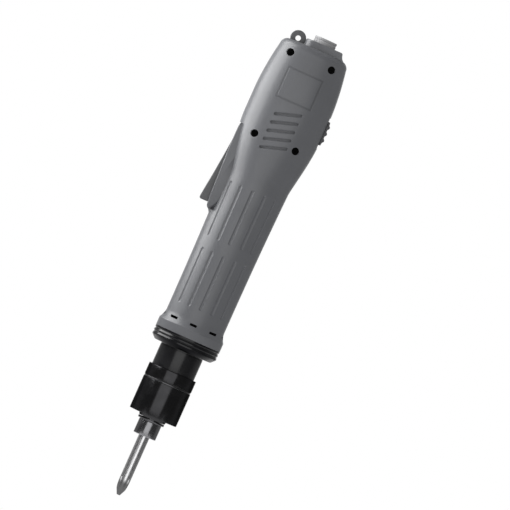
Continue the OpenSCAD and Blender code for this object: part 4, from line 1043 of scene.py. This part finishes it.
class SCREWDRIVER_OT_bit(bpy.types.Operator):
    """Make the cross-point bit"""

    bl_idname = "screwdriver.bit"
    bl_label = "Bit"

    def execute(self, context):
        r, top = BIT_RADIUS, BIT_TOP
        bar = turned(
            [(0, 0), (1.0, 0, 0.15), (2.75, 3.8, 0.6), (3.0, 5.5, 0.6), (3.2, 7.8, 0.8), (r, 10, 0.8), (r, 38.8),
             (0, 38.8)],
            96,
        )
        bar = carved(bar, [hexagon(-1, 40)], "INTERSECT")
        end = carved(hexagon(37.8, top), [turned([(3.275, top + 0.1), (5, top + 0.1), (5, top - 1.4)], 96)])
        flutes = []
        for angle in range(45, 360, 90):
            flute = block((0, 0, 0), (4, 4, 12))
            rotate(flute, -45, "Z")
            rotate(flute, 11, "Y")
            shift(flute, x=0.75, z=-1)
            rotate(flute, angle, "Z")
            flutes.append(flute)
        bar = carved(carved(bar, [end], "UNION"), flutes)
        place("cross_bit", bar, "output", "bright_steel", ["bit"])
        return {"FINISHED"}


class SCREWDRIVER_OT_lever(bpy.types.Operator):
    """Make the start lever"""

    bl_idname = "screwdriver.lever"
    bl_label = "Start lever"

    def execute(self, context):
        px, pz = PIVOT
        outline = [
            *offset(px, pz, (-2.1, 0), (-2.5, -8)),
            *offset(GUARD_X, TOE_Z, (-2.75, 26), (-3.85, 15.3), (-5, 6)),
            *offset(TOE_X, TOE_Z, (0, 1.3), (0.4, 0)),
            *offset(GUARD_X, TOE_Z, (0.15, 0), (0.5, 13)),
            *offset(px, pz, (1, -12), (2.1, 0), (1.4, 1.6), (0, 2.1), (-1.4, 1.6)),
        ]
        hollow = [
            *offset(px, pz, (-0.8, -3.6), (-1, -8.5)),
            *offset(GUARD_X, TOE_Z, (-1.2, 26), (-2.3, 15), (-3.5, 6), (-3.9, 1.6), (4, 1.6)),
            *offset(px, pz, (6, -3.6)),
        ]
        smooth = {2: 6, 3: 6, 4: 6, 5: 0.8, 6: 0.8, 7: 0.6}
        body = slab(rounded(outline, smooth), -LEVER_HALF, LEVER_HALF, 0.8, 4)
        room = slab(hollow, -LEVER_HALF + 1.5, LEVER_HALF - 1.5)
        body = carved(body, [room, peg((px, -9, pz), (0, 1, 0), 18, 1.05)])
        nub = peg((GUARD_X - 3.6, 0, TOE_Z + 9), (1, 0, 0), 2.6, 1.5)
        push = block((px - 1.6, -1.5, pz - 16.5), (-16.5, 1.5, pz - 13.5))
        bevel(push, push.edges[:], 0.2, 2)
        place("start_lever", joined(body, nub, push), "start_lever", "guard_plastic", ["lever"])
        return {"FINISHED"}


class SCREWDRIVER_OT_slide(bpy.types.Operator):
    """Make the serrated direction slide"""

    bl_idname = "screwdriver.slide"
    bl_label = "Direction slide"

    def execute(self, context):
        x, low, high = FLAT_X + 0.05, KNOB_Z - 7.25, KNOB_Z + 7.25
        outline = [(x, low), (x + 1.2, low)]
        for k in (-1, 0, 1):
            outline += offset(x, KNOB_Z + 4.06 * k, (1.35, -1.25), (2.2, -0.45), (2.2, 0.45), (1.35, 1.25))
        outline += [(x + 1.2, high), (x, high)]
        smooth = {i: 0.5 for i in range(1, len(outline) - 1)}
        body = slab(rounded(outline, smooth, 3), -4.6, 4.6, 0.35, 3)
        stem = block((18.25, -1.4, KNOB_Z - 2.8), (x + 0.5, 1.4, KNOB_Z + 2.8))
        place("slide_knob", joined(body, stem), "direction_slide", "knob_plastic", ["direction_knob"])
        return {"FINISHED"}


class SCREWDRIVER_OT_springs(bpy.types.Operator):
    """Make the springs, which moving joints shorten, as still copies of their CAD shapes"""

    bl_idname = "screwdriver.springs"
    bl_label = "Springs"

    def execute(self, context):
        # body, joint that presses it, axis, still end, and the share of its length that is left
        springs = {
            "torque_spring": ("housing", "seat_rise", (0, 0, 1), (0, 0, 80.05), 0.713),
            "lever_spring": ("housing", "lever_press", (1, 0, 0), (-17.59, 0, 185.44), 0.535),
            "sleeve_spring": ("output", "sleeve_pull", (0, 0, 1), (0, 0, 38.9), 0.473),
        }
        for node, (body, joint, axis, still_end, kept) in springs.items():
            coil = place(node + "_coil", copied(node), body, "spring_steel", [node])
            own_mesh(coil)
        return {"FINISHED"}


class SCREWDRIVER_OT_inside(bpy.types.Operator):
    """Give every piece of the mechanism its finish"""

    bl_idname = "screwdriver.inside"
    bl_label = "Mechanism"

    def execute(self, context):
        slots = {row["node"]: row["material_slot"] for row in frame["record"]["subparts"]}
        for name, node in frame["nodes"].items():
            if node.hide_render:
                continue
            node.data.materials.clear()
            # the screws and the gear case get painted shade instead of their own finish
            node.data.materials.append(finish("deep_black" if name in PAINTED_SHADE_PIECES else slots[name]))
        return {"FINISHED"}


def lamp(name, spot, target, size, power):
    light = bpy.data.lights.new(name, "AREA")
    light.shape = "RECTANGLE"
    light.size, light.size_y = size
    light.energy = power
    obj = added(name, light)
    obj.location = spot
    obj.rotation_euler = (Vector(target) - Vector(spot)).to_track_quat("-Z", "Y").to_euler()
    obj.visible_camera = False


def white_paper():
    """The floor's paper. It glows where it is seen, and lets the tool show from beneath."""
    paper = bpy.data.materials.new("white_paper")
    tree = Tree(paper)
    camera, gloss, glass = tree.rays("Camera", "Glossy", "Transmission")
    seen = camera.at_least(gloss).at_least(glass)
    dull = tree.node("ShaderNodeBsdfDiffuse", {0: (0.85, 0.85, 0.85, 1)})
    glow = tree.node("ShaderNodeEmission", {1: 1.2})
    sheet_face = tree.node("ShaderNodeMixShader", {0: seen * 0.72, 1: dull, 2: glow})
    beneath = tree.node("ShaderNodeNewGeometry", output="Backfacing")
    clear = tree.node("ShaderNodeBsdfTransparent")
    both = tree.node("ShaderNodeMixShader", {0: beneath, 1: sheet_face, 2: clear})
    tree.node("ShaderNodeOutputMaterial", {0: both}, output=None)
    return paper


def studio():
    """Gloss shows a dark room round the camera, grey sides and a white sheet behind the tool."""
    world = bpy.data.worlds.new("studio")
    tree = Tree(world)
    x, y, _ = tree.axes(tree.node("ShaderNodeTexCoord", output="Generated"))
    camera, gloss, glass = tree.rays("Camera", "Glossy", "Transmission")
    room = y.between(-0.3, 0.4, 0.07, 0.22) + y.between(0.85, 1.0, 0.0, 0.78)
    plain = tree.node("ShaderNodeMapRange", {0: x, 1: -1.0, 2: 1.0, 3: 0.54, 4: 0.72})
    light = tree.node("ShaderNodeMix", {0: gloss, 2: plain, 3: room})
    shown = tree.node("ShaderNodeMix", {0: camera.at_least(glass), 2: light, 3: 1.0})
    sky = tree.node("ShaderNodeBackground", {0: (1, 1, 1, 1), 1: shown})
    tree.node("ShaderNodeOutputWorld", {0: sky}, output=None)
    return world


class SCREWDRIVER_OT_stage(bpy.types.Operator):
    """Make the floor, the lamps, the surroundings and the camera"""

    bl_idname = "screwdriver.stage"
    bl_label = "Stage"

    def execute(self, context):
        scene = context.scene
        paper = sheet(2, 2, lambda column, row: (700 * column - 350, 700 * row - 350, -60))
        floor = added("floor", as_mesh(paper, "floor"))
        floor.data.materials.append(white_paper())
        scene.world = studio()
        for name, row in LAMPS.items():
            lamp(name, *row)

        camera = added("camera", bpy.data.cameras.new("camera"))
        tilt = scene.screwdriver_sizes.tilt
        right = Vector((math.cos(tilt), 0, math.sin(tilt)))
        up = Vector((-math.sin(tilt), 0, math.cos(tilt)))
        turn = Matrix((right, up, right.cross(up))).transposed()
        camera.data.sensor_width = 36
        camera.data.lens = CAMERA_LENS
        camera.matrix_world = Matrix.Translation(CAMERA_PLACE) @ turn.to_4x4()
        scene.camera = camera
        scene.view_settings.view_transform = "Standard"
        return {"FINISHED"}


OPERATORS = (
    SCREWDRIVER_OT_stage,
    SCREWDRIVER_OT_housing,
    SCREWDRIVER_OT_head,
    SCREWDRIVER_OT_nose,
    SCREWDRIVER_OT_torque_nut,
    SCREWDRIVER_OT_chuck,
    SCREWDRIVER_OT_bit,
    SCREWDRIVER_OT_lever,
    SCREWDRIVER_OT_slide,
    SCREWDRIVER_OT_springs,
    SCREWDRIVER_OT_inside,
)


class SCREWDRIVER_PT_panel(bpy.types.Panel):
    """Lists the tool's pieces, sizes and colours"""

    bl_idname = "SCREWDRIVER_PT_panel"
    bl_label = "Electric Screwdriver"
    bl_space_type = "VIEW_3D"
    bl_region_type = "UI"
    bl_category = "Screwdriver"

    def draw(self, context):
        for group in (context.scene.screwdriver_sizes, context.scene.screwdriver_colours):
            box = self.layout.box()
            for key in group.__annotations__:
                box.prop(group, key)
        for operator in OPERATORS:
            self.layout.operator(operator.bl_idname)


CLASSES = (ScrewdriverSizes, ScrewdriverColours, *OPERATORS, SCREWDRIVER_PT_panel)


def register():
    for item in CLASSES:
        bpy.utils.register_class(item)
    bpy.types.Scene.screwdriver_sizes = bpy.props.PointerProperty(type=ScrewdriverSizes)
    bpy.types.Scene.screwdriver_colours = bpy.props.PointerProperty(type=ScrewdriverColours)


def unregister():
    del bpy.types.Scene.screwdriver_colours
    del bpy.types.Scene.screwdriver_sizes
    for item in reversed(CLASSES):
        bpy.utils.unregister_class(item)


def main():
    register()
    for operator in OPERATORS:
        group, name = operator.bl_idname.split(".")
        getattr(getattr(bpy.ops, group), name)()


if __name__ == "__main__":
    main()
